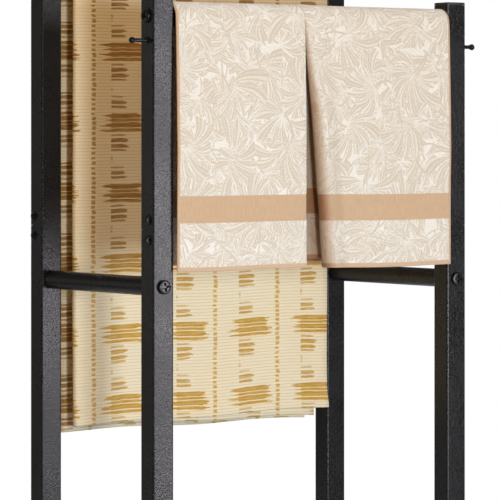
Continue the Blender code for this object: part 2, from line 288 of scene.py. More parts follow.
def make_weave_group():
    """Plain weave on a flat cloth coordinate in metres: threads over and under each other."""
    group, bench, entry, leave = new_group(
        "plain_weave",
        [("Cloth", "vector", None), ("Thread", "value", 0.0006), ("Slub", "value", 0.5)],
        [("Height", "value"), ("Fleck", "value")],
    )
    across, along, _ = bench.separate(entry["Cloth"])
    turn = bench.math("DIVIDE", 2 * math.pi, entry["Thread"])
    warp = bench.math("SINE", bench.times(across, turn))
    weft = bench.math("SINE", bench.times(along, turn))
    over = bench.times(warp, weft)
    slub = bench.drawn_noise(across, along, (60.0, 900.0), 2.0, 0.6)
    fleck = bench.noise(entry["Cloth"], 700.0, 2.0, 0.6)
    lifted = bench.times(bench.minus(slub, 0.5), entry["Slub"])
    bench.feed(leave["Height"], bench.times_plus(over, 0.35, lifted))
    bench.feed(leave["Fleck"], bench.times_plus(slub, 0.5, bench.times(fleck, 0.5)))
    return group


# ---------------------------------------------------------------- finishes


def finish_powder(name, colour, roughness, grain, dust=0.1):
    material, bench, shader = new_material(name, colour)
    coat = bench.use(
        GROUPS["coat"], Colour=colour, Roughness=roughness, Grain_Size=grain, Dust=dust
    )
    bench.feed(shader.inputs["Base Color"], coat["Colour"])
    bench.feed(shader.inputs["Roughness"], coat["Roughness"])
    bench.feed(shader.inputs["Normal"], bench.bump(coat["Height"], 1.0, 0.00026))
    shader.inputs["Specular IOR Level"].default_value = 0.22
    return material


def finish_plastic(name, colour):
    material, bench, shader = new_material(name, colour)
    coat = bench.use(
        GROUPS["coat"], Colour=colour, Roughness=0.5, Grain_Size=0.0005, Dust=0.14
    )
    bench.feed(shader.inputs["Base Color"], coat["Colour"])
    bench.feed(shader.inputs["Roughness"], coat["Roughness"])
    bench.feed(shader.inputs["Normal"], bench.bump(coat["Height"], 0.3, 0.0002))
    return material


def finish_blacked_steel(name, colour):
    """Black-coated fasteners: smoother than the tubes, rubbed in small patches."""
    material, bench, shader = new_material(name, colour)
    place = bench.object_place()
    mottled = bench.noise(place, 900.0, 3.0, 0.6)
    rubbed = bench.step(bench.noise(place, 260.0, 4.0, 0.7), 0.6, 0.72)
    worn = bench.mix(bench.times(rubbed, 0.35), colour, (0.12, 0.12, 0.12))
    bench.feed(shader.inputs["Base Color"], worn)
    bench.feed(shader.inputs["Roughness"], bench.remap(mottled, 0.3, 0.7, 0.28, 0.40))
    shader.inputs["Specular IOR Level"].default_value = 0.3
    bench.feed(shader.inputs["Metallic"], bench.times(rubbed, 0.5))
    bench.feed(shader.inputs["Normal"], bench.bump(mottled, 0.15, 0.0001))
    return material


def finish_dark_steel(name):
    """Oxide-finished tube: dark patches of crystal with fine drawn lines."""
    material, bench, shader = new_material(name, (0.08, 0.08, 0.08))
    place = bench.object_place()
    cells = bench.add("ShaderNodeTexVoronoi")
    bench.feed(cells.inputs["Vector"], place)
    bench.feed(cells.inputs["Scale"], 350.0)
    tone = bench.separate(cells.outputs["Color"])[0]
    drawn = bench.add("ShaderNodeMapping")
    bench.feed(drawn.inputs["Vector"], place)
    drawn.inputs["Scale"].default_value = (2500.0, 2500.0, 40.0)
    lines = bench.noise(drawn.outputs[0], 1.0, 2.0, 0.5)
    drawn_tone = bench.remap(lines, 0, 1, -0.008, 0.008)
    grey = bench.plus(bench.remap(tone, 0.0, 1.0, 0.035, 0.055), drawn_tone)
    bench.feed(shader.inputs["Base Color"], bench.combine(grey, grey, grey))
    bench.feed(shader.inputs["Roughness"], bench.remap(tone, 0.0, 1.0, 0.28, 0.42))
    bench.feed(shader.inputs["Metallic"], 0.4)
    bench.feed(shader.inputs["Normal"], bench.bump(lines, 0.2, 0.0001))
    return material


def cloth_coordinate(bench, flat):
    """The cloth's own flat coordinate in metres, from its UV map."""
    scaled = bench.add("ShaderNodeVectorMath", operation="MULTIPLY")
    uv = bench.add("ShaderNodeUVMap", uv_map="flat_cloth")
    bench.feed(scaled.inputs[0], uv.outputs[0])
    scaled.inputs[1].default_value = (flat[0], flat[1], 0.0)
    return scaled.outputs[0]


# Ikat strokes, in millimetres: (middle below the block's top edge, half height, left end, right end,
# strength). A block is four long streaks, and short strokes follow under it.
IKAT_STROKES = [
    (2.6, 2.8, -13.0, 41.0, 1.0),
    (7.6, 1.6, -10.0, 42.0, 0.97),
    (12.8, 2.8, -13.0, 43.0, 1.0),
    (18.4, 1.8, -15.0, 44.0, 0.97),
    (24.3, 1.1, 0.0, 19.0, 0.8),
    (30.0, 2.3, 0.0, 22.5, 0.97),
    (36.3, 2.1, 0.0, 22.5, 0.97),
    (40.8, 1.1, 0.0, 21.0, 0.9),
    (59.6, 1.1, 0.0, 18.0, 0.65),
    (65.7, 2.1, 0.0, 20.0, 0.9),
    (70.8, 1.5, 0.0, 21.0, 0.92),
]
WISP_ROOM = 0.016  # what belongs to a column left of its line, in metres
IKAT_THREAD = 0.0011  # from one dyed thread to the next, in metres
STROKE_MIDDLE = 14.0  # how far right of its line a block's middle is, in millimetres
DOT_MIDDLE = 55.0  # how far right of the line the dots are, and how much that changes with the column
DOT_LEAN = -3.4


def make_stroke_group():
    """One ikat stroke: full at its line, with wisps to its left and a ragged right end."""
    group, bench, entry, leave = new_group(
        "ikat_stroke",
        [
            ("Across", "value", 0.0),
            ("Down", "value", 0.0),
            ("Jitter", "value", 0.5),
            ("Middle", "value", 0.0),
            ("Half Height", "value", 1.0),
            ("Left", "value", 0.0),
            ("Right", "value", 20.0),
            ("Strength", "value", 1.0),
        ],
        [("Mask", "value")],
    )
    jitter = bench.minus(entry["Jitter"], 0.5)
    off = bench.apart(entry["Down"], entry["Middle"])
    from_right = bench.minus(entry["Right"], entry["Across"])
    ragged = bench.times(entry["Right"], 0.2)
    from_right = bench.times_plus(jitter, ragged, from_right)
    taper = bench.math("POWER", bench.math("DIVIDE", from_right, 6.0, clamp=True), 0.4)
    past_line = bench.step(bench.times_plus(jitter, 1.4, entry["Across"]), -0.4, 0.6)
    from_left = bench.minus(entry["Across"], entry["Left"])
    from_left = bench.times_plus(bench.times(jitter, entry["Left"]), -0.8, from_left)
    wisp = bench.times(bench.math("DIVIDE", from_left, 12.0, clamp=True), 0.75)
    reach = bench.math("MAXIMUM", past_line, wisp)
    height = bench.times(bench.times(entry["Half Height"], taper), reach)
    inside = bench.minus(height, off)
    mask = bench.step(inside, -0.3, 0.4)
    mask = bench.times(mask, bench.step(from_left, 0.0, 0.8))
    mask = bench.times(mask, bench.step(from_right, 0.0, 1.2))
    bench.feed(leave["Mask"], bench.times(mask, entry["Strength"]))
    return group


def ikat_place(bench, settings, across, along, wander, fray):
    """A point's shifted place, its column, and its millimetres right of the line and below the block."""
    # the cloth is two widths joined at the outer fold, and their patterns don't meet
    beyond = bench.math("GREATER_THAN", across, settings.seam)
    across = bench.times_plus(beyond, settings.seam_shift, across)
    shift = bench.minus(settings.first_column, across)
    column = bench.math("DIVIDE", bench.plus(shift, WISP_ROOM), settings.repeat_across)
    column = bench.math("FLOOR", column)
    right = bench.minus(shift, bench.times(column, settings.repeat_across))
    right = bench.times(right, 1000.0)
    below = bench.minus(settings.first_block, along)
    below = bench.times_plus(bench.minus(wander, 0.5), 0.003, below)
    row = bench.math("FLOOR", bench.math("DIVIDE", below, settings.repeat_along))
    down = bench.minus(below, bench.times(row, settings.repeat_along))
    down = bench.times(down, 1000.0)
    # a block's streaks arch a little, and their edges are frayed
    down = bench.times_plus(bench.apart(right, STROKE_MIDDLE), -0.02, down)
    down = bench.times_plus(bench.minus(fray, 0.5), 0.9, down)
    return across, column, right, down


def ikat_strokes(bench, right, down, jitter):
    """The mask of a column's blocks and short strokes."""
    dye = 0.0
    for middle, half, left_end, right_end, strength in IKAT_STROKES:
        stroke = bench.use(
            GROUPS["stroke"],
            Across=right,
            Down=down,
            Jitter=jitter,
            Middle=middle,
            Half_Height=half,
            Left=left_end,
            Right=right_end,
            Strength=strength,
        )
        dye = bench.math("MAXIMUM", dye, stroke["Mask"])
    return dye


def ikat_dots(bench, settings, along, wander, column, right, down, jitter):
    """Dots in a line between two columns, tiny dots on the stroke line, and the line's middle."""
    turn = bench.math("DIVIDE", along, settings.dot_pitch)
    turn = bench.times_plus(wander, 0.8, turn)
    index = bench.math("FLOOR", turn)
    chance = bench.chance(index, column)
    off = bench.minus(bench.minus(turn, index), 0.5)
    out = bench.minus(bench.math("ABSOLUTE", off), bench.remap(chance, 0.0, 1.0, 0.20, 0.42))
    height = bench.invert(bench.step(out, -0.08, 0.08))
    # the lines of dots stand further apart than the stroke lines do
    lean = bench.math("MINIMUM", bench.times(column, 1.9), bench.math("MINIMUM", column, 1.0))
    lean = bench.math("MAXIMUM", lean, -1.9)
    middle = bench.times_plus(lean, DOT_LEAN, DOT_MIDDLE)
    middle = bench.times_plus(chance, 1.2, middle)
    middle = bench.times_plus(jitter, 1.4, middle)
    side = bench.invert(bench.step(bench.apart(right, middle), 1.9, 3.1))
    dots = bench.times(height, side, 0.85)
    tiny_side = bench.invert(bench.step(bench.apart(right, 1.4), 0.9, 1.9))
    tiny_end = bench.invert(bench.step(down, 53.0, 55.0))
    tiny_zone = bench.times(bench.step(down, 46.0, 48.0), tiny_end)
    tiny = bench.times(tiny_side, tiny_zone, 0.55)
    return dots, bench.times(tiny, height), middle


def finish_quilt(settings, flat, pitch):
    """Ribbed cotton with ochre ikat strokes in columns, and a column of dots between them, with painted
    shade in the rib grooves and on the strokes from about 0.2 m above the front hem on.
    """
    material, bench, shader = new_material("quilt_ikat", tuple(settings.ground))
    cloth = cloth_coordinate(bench, flat)
    across, along, _ = bench.separate(cloth)
    # how far over its rib a point is
    ribs = bench.math("DIVIDE", along, pitch)
    over_rib = bench.minus(ribs, bench.math("FLOOR", ribs))
    crown = bench.math("SINE", bench.times(over_rib, math.pi))
    fray = bench.drawn_noise(across, along, (90.0, 620.0), 3.0, 0.7)
    wander = bench.noise(cloth, 38.0, 2.0, 0.5)
    place = ikat_place(bench, settings, across, along, wander, fray)
    shifted, column, right, down = place
    thread = bench.math("FLOOR", bench.math("DIVIDE", along, IKAT_THREAD))
    jitter = bench.chance(thread, column)
    dye = ikat_strokes(bench, right, down, jitter)
    dots, tiny, dot_middle = ikat_dots(bench, settings, along, wander, column, right, down, jitter)
    dye = bench.math("MAXIMUM", dye, dots)
    dye = bench.math("MAXIMUM", dye, tiny)
    # the dye takes unevenly; painted shade: the strokes are darker from about 0.2 m above the front hem on,
    # for the towel's shadow on the quilt
    take = bench.remap(bench.drawn_noise(shifted, along, (60.0, 560.0), 3.0, 0.6), 0.3, 0.75, 1.05, 0.72)
    dye = bench.math("MULTIPLY", dye, take, clamp=True)
    gold = bench.mix(bench.step(fray, 0.35, 0.7), settings.dye, settings.dye_light)
    deep = bench.times(bench.step(along, 0.14, 0.24), 0.8)
    gold = bench.mix(deep, gold, settings.dye_in_painted_shade)
    patch = bench.step(bench.noise(cloth, 9.0, 3.0, 0.5), 0.3, 0.7)
    ground = bench.mix(patch, settings.ground, settings.ground_warm)
    # a yellow bleed between the streaks of a block and beside the dots
    in_block = bench.times(bench.step(right, -8.0, 0.0), bench.invert(bench.step(right, 38.0, 46.0)))
    in_block = bench.times(in_block, bench.invert(bench.step(down, 20.0, 23.0)))
    by_dots = bench.invert(bench.step(bench.apart(right, dot_middle), 2.5, 5.0))
    near = bench.math("MAXIMUM", bench.times(in_block, 0.4), bench.times(by_dots, 0.3))
    ground = bench.mix(near, ground, settings.bleed)
    colour = bench.mix(dye, ground, gold)
    weave = bench.use(GROUPS["weave"], Cloth=cloth, Thread=0.0007, Slub=0.8)
    # painted shade: the colour is darkened in the rib grooves
    groove_shade = bench.remap(crown, 0.0, 0.6, 0.78, 1.0)
    shade = bench.times(groove_shade, bench.remap(weave["Fleck"], 0.3, 0.7, 0.93, 1.06))
    bench.feed(shader.inputs["Base Color"], bench.shaded(colour, shade))
    bench.feed(shader.inputs["Roughness"], bench.remap(weave["Fleck"], 0.3, 0.7, 0.82, 0.95))
    height = bench.times_plus(weave["Height"], 0.12, bench.math("POWER", crown, 0.5))
    bench.feed(shader.inputs["Normal"], bench.bump(height, 0.5, 0.0007))
    shader.inputs["Sheen Weight"].default_value = 0.12
    shader.inputs["Sheen Roughness"].default_value = 0.5
    return material


# Layers of fronds, from the lowest up: (distance between centres, leaves round one, curl, seed)
FROND_LAYERS = [
    (0.036, 9.0, 0.6, 7.3),
    (0.044, 11.0, 0.7, 3.1),
    (0.052, 11.0, 0.8, 11.7),
    (0.062, 13.0, 0.9, 0.0),
]
STITCH = 0.0022  # from one stitch of a hem to the next


def make_frond_group():
    """Leaves fanning from scattered points: the leaves, their outlines, veins and tones."""
    group, bench, entry, leave = new_group(
        "fronds",
        [
            ("Cloth", "vector", None),
            ("Spread", "value", 0.07),
            ("Leaves", "value", 9.0),
            ("Curl", "value", 1.2),
            ("Seed", "value", 0.0),
        ],
        [("Leaf", "value"), ("Outline", "value"), ("Vein", "value"), ("Tone", "value")],
    )
    cells = bench.add("ShaderNodeTexVoronoi", voronoi_dimensions="3D")
    scale = bench.math("DIVIDE", 1.0, entry["Spread"])
    warp = bench.add("ShaderNodeTexNoise")
    bench.feed(warp.inputs["Vector"], entry["Cloth"])
    bench.feed(warp.inputs["Scale"], 16.0)
    offset = bench.add("ShaderNodeVectorMath", operation="MULTIPLY_ADD")
    bench.feed(offset.inputs[0], warp.outputs["Color"])
    offset.inputs[1].default_value = (0.016, 0.016, 0.0)
    bench.feed(offset.inputs[2], entry["Cloth"])
    layer = bench.add("ShaderNodeVectorMath", operation="ADD")
    bench.feed(layer.inputs[0], offset.outputs[0])
    bench.feed(layer.inputs[1], bench.combine(0.0, 0.0, entry["Seed"]))
    bench.feed(cells.inputs["Vector"], layer.outputs[0])
    bench.feed(cells.inputs["Scale"], scale)
    bench.feed(cells.inputs["Randomness"], 0.75)
    local = bench.add("ShaderNodeVectorMath", operation="SUBTRACT")
    bench.feed(local.inputs[0], layer.outputs[0])
    bench.feed(local.inputs[1], cells.outputs["Position"])
    x, y, _ = bench.separate(local.outputs[0])
    x = bench.times(x, scale)
    y = bench.times(y, scale)
    squares = bench.plus(bench.times(x, x), bench.times(y, y))
    radius = bench.math("SQRT", squares)
    angle = bench.math("ARCTAN2", y, x)
    chance = bench.separate(cells.outputs["Color"])
    turned = bench.times_plus(bench.minus(chance[0], 0.5), 3.0, math.pi / 2)
    angle = bench.plus(angle, turned)
    # half of the fronds curl the other way
    curl = bench.math("SIGN", bench.minus(chance[2], 0.5))
    curl = bench.times(curl, entry["Curl"])
    angle = bench.times_plus(radius, curl, angle)
    turn = bench.times(angle, bench.math("DIVIDE", entry["Leaves"], 2 * math.pi))
    leaf_index = bench.math("FLOOR", turn)
    aside = bench.minus(bench.minus(turn, leaf_index), 0.5)
    beside = bench.math("ABSOLUTE", aside)
    length = bench.add("ShaderNodeTexWhiteNoise", noise_dimensions="2D")
    bench.feed(length.inputs["Vector"], bench.combine(leaf_index, chance[1]))
    reach = bench.remap(length.outputs["Value"], 0.0, 1.0, 0.35, 1.0)
    along = bench.math("MINIMUM", bench.math("DIVIDE", radius, reach), 1.0)
    wide = bench.math("POWER", bench.math("SINE", bench.times(along, math.pi)), 0.7)
    edge = bench.minus(bench.times(wide, 0.44), beside)
    edge = bench.times(edge, radius)
    kept = bench.add("ShaderNodeTexWhiteNoise", noise_dimensions="2D")
    bench.feed(kept.inputs["Vector"], bench.combine(leaf_index, bench.plus(chance[1], 7.0)))
    kept = bench.math("LESS_THAN", kept.outputs["Value"], 0.94)
    # the leaves fan out to one side, and their stem leaves on the other
    middle = bench.times(bench.plus(leaf_index, 0.5), 2 * math.pi)
    middle = bench.math("COSINE", bench.math("DIVIDE", middle, entry["Leaves"]))
    kept = bench.times(kept, bench.math("GREATER_THAN", middle, -0.55))
    leaf = bench.times(bench.step(edge, -0.004, 0.008), kept)
    behind = bench.math("LESS_THAN", bench.math("COSINE", angle), 0.0)
    off_stem = bench.math("ABSOLUTE", bench.times(bench.math("SINE", angle), radius))
    stem = bench.invert(bench.step(off_stem, 0.012, 0.026))
    stem = bench.times(bench.times(stem, behind), bench.math("LESS_THAN", radius, 0.5))
    rim = bench.invert(bench.step(bench.math("ABSOLUTE", edge), 0.004, 0.014))
    rim = bench.times(bench.times(rim, kept), bench.step(radius, 0.12, 0.3))
    leaf = bench.math("MAXIMUM", leaf, stem)
    slant = bench.times(bench.times(beside, radius), 95.0)
    slant = bench.minus(bench.times(radius, 70.0), slant)
    barbs = bench.step(bench.math("SINE", slant), 0.1, 0.8)
    lines = bench.step(bench.math("COSINE", bench.times(aside, 6 * math.pi)), -0.1, 0.6)
    dark_side = bench.step(aside, -0.02, 0.02)
    vein = bench.math("MAXIMUM", lines, bench.times(barbs, dark_side))
    vein = bench.math("MAXIMUM", bench.times(vein, bench.step(radius, 0.05, 0.25)), stem)
    bench.feed(leave["Leaf"], leaf)
    bench.feed(leave["Outline"], rim)
    bench.feed(leave["Vein"], bench.times(vein, leaf))
    by_length = bench.times(length.outputs["Value"], 0.4)
    bench.feed(leave["Tone"], bench.times_plus(dark_side, 0.2, by_length))
    return group


def finish_towel(settings, flat, zones):
    """Ivory jacquard with fronds in its own tone, a flat tan band, tan hems and painted shade inside the
    pleat.
    """
    material, bench, shader = new_material("towel_jacquard", tuple(settings.ivory))
    cloth = cloth_coordinate(bench, flat)
    across, along, _ = bench.separate(cloth)
    weave = bench.use(GROUPS["weave"], Cloth=cloth, Thread=0.0008, Slub=0.5)
    patch = bench.step(bench.noise(cloth, 11.0, 3.0, 0.5), 0.3, 0.7)
    figured = bench.mix(patch, settings.ivory, settings.ivory_deep)
    relief = 0.0
    for spread, leaves, curl, seed in FROND_LAYERS:
        frond = bench.use(
            GROUPS["fronds"], Cloth=cloth, Spread=spread, Leaves=leaves, Curl=curl, Seed=seed
        )
        body = bench.mix(frond["Tone"], settings.ivory_deep, settings.leaf)
        body = bench.mix(bench.times(frond["Vein"], 0.65), body, settings.vein)
        figured = bench.mix(frond["Leaf"], figured, body)
        figured = bench.mix(bench.times(frond["Outline"], 0.75), figured, settings.outline)
        kept = bench.times(relief, bench.invert(frond["Leaf"]))
        raised = bench.times_plus(frond["Vein"], 0.5, bench.times(frond["Leaf"], 0.5))
        relief = bench.plus(kept, raised)
    hatch = bench.drawn_noise(across, along, (900.0, 420.0), 2.0, 0.7)
    figured = bench.shaded(figured, bench.remap(hatch, 0.3, 0.7, 0.88, 1.08))

    def past(value, mark):
        """1 beyond a mark, and 0 up to it."""
        blur = 0.0002
        return bench.step(value, zones[mark] - blur, zones[mark] + blur)

    def banded(value):
        return bench.times(past(value, "band_low"), bench.invert(past(value, "band_high")))

    # the bands and the hems are the same at both ends
    rear_along = bench.minus(flat[1], along)
    band = bench.math("MAXIMUM", banded(along), banded(rear_along))
    side = bench.math("MINIMUM", across, bench.minus(flat[0], across))
    end = bench.math("MINIMUM", along, rear_along)
    hem = bench.math("MAXIMUM", bench.invert(past(side, "side_hem")), bench.invert(past(end, "end_hem")))
    grain = bench.step(bench.drawn_noise(across, along, (1100.0, 90.0), 2.0, 0.6), 0.3, 0.7)
    colour = bench.mix(band, figured, bench.mix(grain, settings.tan, settings.tan_deep))
    colour = bench.mix(hem, colour, bench.mix(grain, settings.hem, settings.tan))
    # painted shade: the cloth inside the pleat and on its soft shoulder is tinted darker, less so on the
    # raised leaf figure
    down = bench.math("SUBTRACT", 1.0, bench.math("DIVIDE", along, zones["drop"]), clamp=True)
    mouth = bench.math("POWER", down, settings.spread)
    mouth = bench.times_plus(mouth, settings.opening, zones["pleat_end"])
    shoulder = bench.times_plus(bench.math("POWER", down, 0.5), 0.011, 0.001)
    from_mouth = bench.math("DIVIDE", bench.minus(across, mouth), shoulder)
    inside = bench.invert(bench.step(from_mouth, -0.2, 1.0))
    entered = bench.step(across, zones["pleat_start"], zones["pleat_start"] + 0.004)
    inside = bench.times(inside, entered)
    plain = bench.math("MAXIMUM", band, hem)
    figure_height = bench.times(relief, bench.invert(plain))
    inside = bench.times(inside, bench.remap(figure_height, 0.1, 0.9, 1.0, 0.68))
    # painted shade multiplied into the colour inside the pleat
    deeper = bench.mix(1.0, colour, settings.inside, "MULTIPLY")
    colour = bench.mix(inside, colour, deeper)
    shade = bench.remap(weave["Fleck"], 0.3, 0.7, 0.93, 1.04)
    colour = bench.shaded(colour, shade)
    bench.feed(shader.inputs["Base Color"], colour)
    height = bench.times_plus(weave["Height"], 0.25, figure_height)
    stitch = bench.math("SINE", bench.times(bench.plus(across, along), 2 * math.pi / STITCH))
    stitch = bench.times(hem, stitch)
    height = bench.times_plus(stitch, 0.3, height)
    bench.feed(shader.inputs["Roughness"], bench.remap(plain, 0.0, 1.0, 0.95, 0.8))
    bench.feed(shader.inputs["Normal"], bench.bump(height, 0.5, 0.0006))
    shader.inputs["Sheen Weight"].default_value = 0.2
    shader.inputs["Sheen Roughness"].default_value = 0.5
    return material


GROUPS = {
    "coat": make_coat_group(),
    "weave": make_weave_group(),
    "stroke": make_stroke_group(),
    "fronds": make_frond_group(),
}
FINISHES = {}


# ---------------------------------------------------------------- modelling


def start_clean():
    """Leaves edit mode and selects nothing."""
    if bpy.context.mode != "OBJECT":
        bpy.ops.object.mode_set(mode="OBJECT")
    bpy.ops.object.select_all(action="DESELECT")


def turn_profile(name, profile, sides):
    """A round piece about Z: a disc extruded and resized through (radius, height) points."""
    start_clean()
    radius, height = profile[0]
    bpy.ops.mesh.primitive_circle_add(
        vertices=sides, radius=radius, fill_type="NGON", location=(0.0, 0.0, 0.0)
    )
    piece = bpy.context.object
    piece.name = name
    bpy.ops.object.mode_set(mode="EDIT")
    bpy.ops.mesh.select_all(action="SELECT")
    bpy.ops.transform.translate(value=(0.0, 0.0, height))
    for next_radius, next_height in profile[1:]:
        bpy.ops.mesh.extrude_region_move(
            TRANSFORM_OT_translate={"value": (0.0, 0.0, next_height - height)}
        )
        scale = next_radius / radius
        bpy.ops.transform.resize(value=(scale, scale, 1.0), center_override=(0.0, 0.0, next_height))
        radius, height = next_radius, next_height
    bpy.ops.mesh.select_all(action="SELECT")
    bpy.ops.mesh.normals_make_consistent(inside=False)
    bpy.ops.object.mode_set(mode="OBJECT")
    return piece


def choose(piece):
    """Selects one object and makes it the active one."""
    start_clean()
    piece.select_set(True)
    bpy.context.view_layer.objects.active = piece


def combine_with(piece, other, operation):
    """Cuts the other object out of the piece or joins it on, and removes the other."""
    modifier = piece.modifiers.new("combine", "BOOLEAN")
    modifier.operation = operation
    modifier.solver = "EXACT"
    modifier.object = other
    choose(piece)
    bpy.ops.object.modifier_apply(modifier=modifier.name)
    bpy.data.objects.remove(other, do_unlink=True)


def soften(piece, angle=SMOOTH_ANGLE):
    choose(piece)
    bpy.ops.object.shade_smooth_by_angle(angle=angle)


def place_copy(model, name, matrix):
    """A copy of a model with its own mesh, its place in the mesh and its object at the origin."""
    piece = bpy.data.objects.new(name, model.data.copy())
    piece.data.name = name
    bpy.context.collection.objects.link(piece)
    piece.data.transform(matrix)
    return piece


def drop_model(model):
    mesh = model.data
    bpy.data.objects.remove(model, do_unlink=True)
    bpy.data.meshes.remove(mesh)


def finish_piece(piece, finish, slot, body, *replaced):
    """The finish, the body it rides on, a slot name that is not used, and the nodes it stands for."""
    piece.data.materials.clear()
    piece.data.materials.append(FINISHES[finish])
    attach(piece, body)
    if replaced:
        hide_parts(*replaced)


RECESS_TAPER = 0.45  # the bottom of a driver's recess as a share of its mouth


def cross_cutter(span, slot, depth, top):
    """A driver's cross: two crossed blades that narrow towards the bottom."""
    start_clean()
    blades = []
    for width, length in ((span, slot), (slot, span)):
        bpy.ops.mesh.primitive_cube_add(size=1.0, location=(0.0, 0.0, top))
        blade = bpy.context.object
        blade.scale = (width, length, 2 * depth)
        bpy.ops.object.transform_apply(location=True, rotation=False, scale=True)
        bpy.ops.object.mode_set(mode="EDIT")
        shape = bmesh.from_edit_mesh(blade.data)
        for face in shape.faces:
            face.select = face.normal.z < -0.5
        shape.select_flush_mode()
        bmesh.update_edit_mesh(blade.data)
        narrow = (RECESS_TAPER, RECESS_TAPER, 1.0)
        bpy.ops.transform.resize(value=narrow, center_override=(0.0, 0.0, top - depth))
        bpy.ops.object.mode_set(mode="OBJECT")
        blades.append(blade)
    combine_with(*blades, "UNION")
    return blades[0]


def model_fastener(name, head_radius, head_height, shank_radius, shank_length):
    """A domed cross-recess head above z = 0 on a threaded shank."""
    sides, dome_steps, thread_pitch, flatness = 48, 12, 0.001, 0.42
    rim = 0.22 * head_height
    profile = [(0.02 * head_radius, head_height)]
    for step in range(1, dome_steps + 1):
        angle = math.pi / 2 * step / dome_steps
        across, up = math.sin(angle) ** flatness, max(math.cos(angle), 0.0) ** flatness
        profile.append((head_radius * across, rim + (head_height - rim) * up))
    profile += [(head_radius, 0.12 * rim), (head_radius * 0.985, 0.0), (shank_radius, 0.0)]
    turns = int(shank_length / thread_pitch) - 1
    for turn in range(turns):
        depth = -thread_pitch * (turn + 0.5)
        profile.append((shank_radius, depth))
        profile.append((shank_radius * 0.9, depth - thread_pitch / 2))
    profile += [(shank_radius * 0.8, -shank_length), (0.1 * shank_radius, -shank_length)]
    bolt = turn_profile(name, profile, sides)
    span, slot, depth = 1.75 * head_radius, 0.50 * head_radius, 0.75 * head_height
    combine_with(bolt, cross_cutter(span, slot, depth, head_height), "DIFFERENCE")
    soften(bolt)
    return bolt


def outward_turn(direction):
    """The turn that points +Z in a direction."""
    return Vector(direction).to_track_quat("Z", "Y").to_matrix().to_4x4()


def fastener_direction(node):
    """A fastener's head points away from the post that it is in, along the axis it is longest on."""
    low, high = node_box(node)
    size = high - low
    corner = "_".join(node.split("_")[:2])
    post = node_centre(f"{corner}_post_lower")
    if size.x > size.y:
        return (math.copysign(1.0, post.x), 0.0, 0.0)
    return (0.0, math.copysign(1.0, post.y), 0.0)


def head_seat(node, direction, head_height):
    """The middle of the underside of a fastener's head."""
    low, high = node_box(node)
    centre = (low + high) / 2
    for axis in (0, 1):
        if direction[axis] > 0.5:
            centre[axis] = high[axis] - head_height
        elif direction[axis] < -0.5:
            centre[axis] = low[axis] + head_height
    return centre


# ---------------------------------------------------------------- settings


def colour_setting(name, description, default):
    return FloatVectorProperty(
        name=name, description=description, subtype="COLOR", size=3, default=default, min=0.0, max=1.0
    )


def length_setting(name, description, default, low, high):
    return FloatProperty(
        name=name, description=description, default=default, min=low, max=high, unit="LENGTH"
    )


class RackSettings(bpy.types.PropertyGroup):
    steel: colour_setting("Powder coat", "Colour of the tubes", (0.0075, 0.0072, 0.0075))
    grain: length_setting("Grain", "Size of the powder coat's pebbles", 0.0014, 0.0002, 0.003)
    roughness: FloatProperty(
        name="Roughness", description="Roughness of the powder coat", default=0.27,
        min=0.0, max=1.0, subtype="FACTOR",
    )
    bolts: colour_setting("Fasteners", "Colour of the bolts and screws", (0.004, 0.004, 0.004))
    plastic: colour_setting("Caps and feet", "Colour of the caps and feet", (0.009, 0.009, 0.009))
    cap_dome: length_setting("Cap dome", "How far the middle of a cap stands up", 0.0004, 0.0, 0.003)


class QuiltSettings(bpy.types.PropertyGroup):
    width: length_setting("Width", "Width of the quilt before it is folded", 1.27, 0.5, 3.0)
    length: length_setting("Length", "Length of the quilt", 1.524, 0.5, 3.0)
    rib: length_setting("Rib", "Height of a rib above its grooves", 0.00042, 0.0, 0.003)
    ribs: FloatProperty(
        name="Ribs", description="Ribs over the quilt's length", default=430.0, min=50.0, max=1000.0,
    )
    thickness: length_setting("Thickness", "Thickness of one layer", 0.0016, 0.0005, 0.01)
    repeat_across: length_setting(
        "Repeat across", "From one column of strokes to the next", 0.085, 0.02, 0.5
    )
    repeat_along: length_setting(
        "Repeat along", "From one block of strokes to the next", 0.078, 0.02, 0.5
    )
    first_column: length_setting(
        "First column", "From the free edge to a stroke line", 0.2927, 0.0, 1.0
    )
    seam: length_setting(
        "Seam", "From the free edge to the seam of the two widths of cloth", 0.3395, 0.0, 1.0
    )
    seam_shift: length_setting("Seam shift", "How far the pattern jumps at the seam", 0.0227, -0.1, 0.1)
    first_block: length_setting(
        "First block", "From the front hem to the top of a block", 0.0295, 0.0, 1.0
    )
    dot_pitch: length_setting("Dots", "From one dot to the next", 0.0054, 0.001, 0.05)
    ground: colour_setting("Ground", "Colour of the undyed cotton", (0.775, 0.665, 0.462))
    ground_warm: colour_setting("Ground, warm", "Its warmer patches", (0.79, 0.655, 0.43))
    bleed: colour_setting("Bleed", "Tint beside the strokes", (0.86, 0.64, 0.30))
    dye: colour_setting("Dye", "Colour of the strokes", (0.46, 0.232, 0.010))
    # painted shade: the strokes' colour from about 0.2 m above the front hem on, where the towel's shadow
    # falls
    dye_in_painted_shade: colour_setting(
        "Dye, deep", "Colour of the strokes away from the front hem", (0.26, 0.105, 0.008)
    )
    dye_light: colour_setting("Dye, light", "Where the dye is thin", (0.57, 0.335, 0.030))


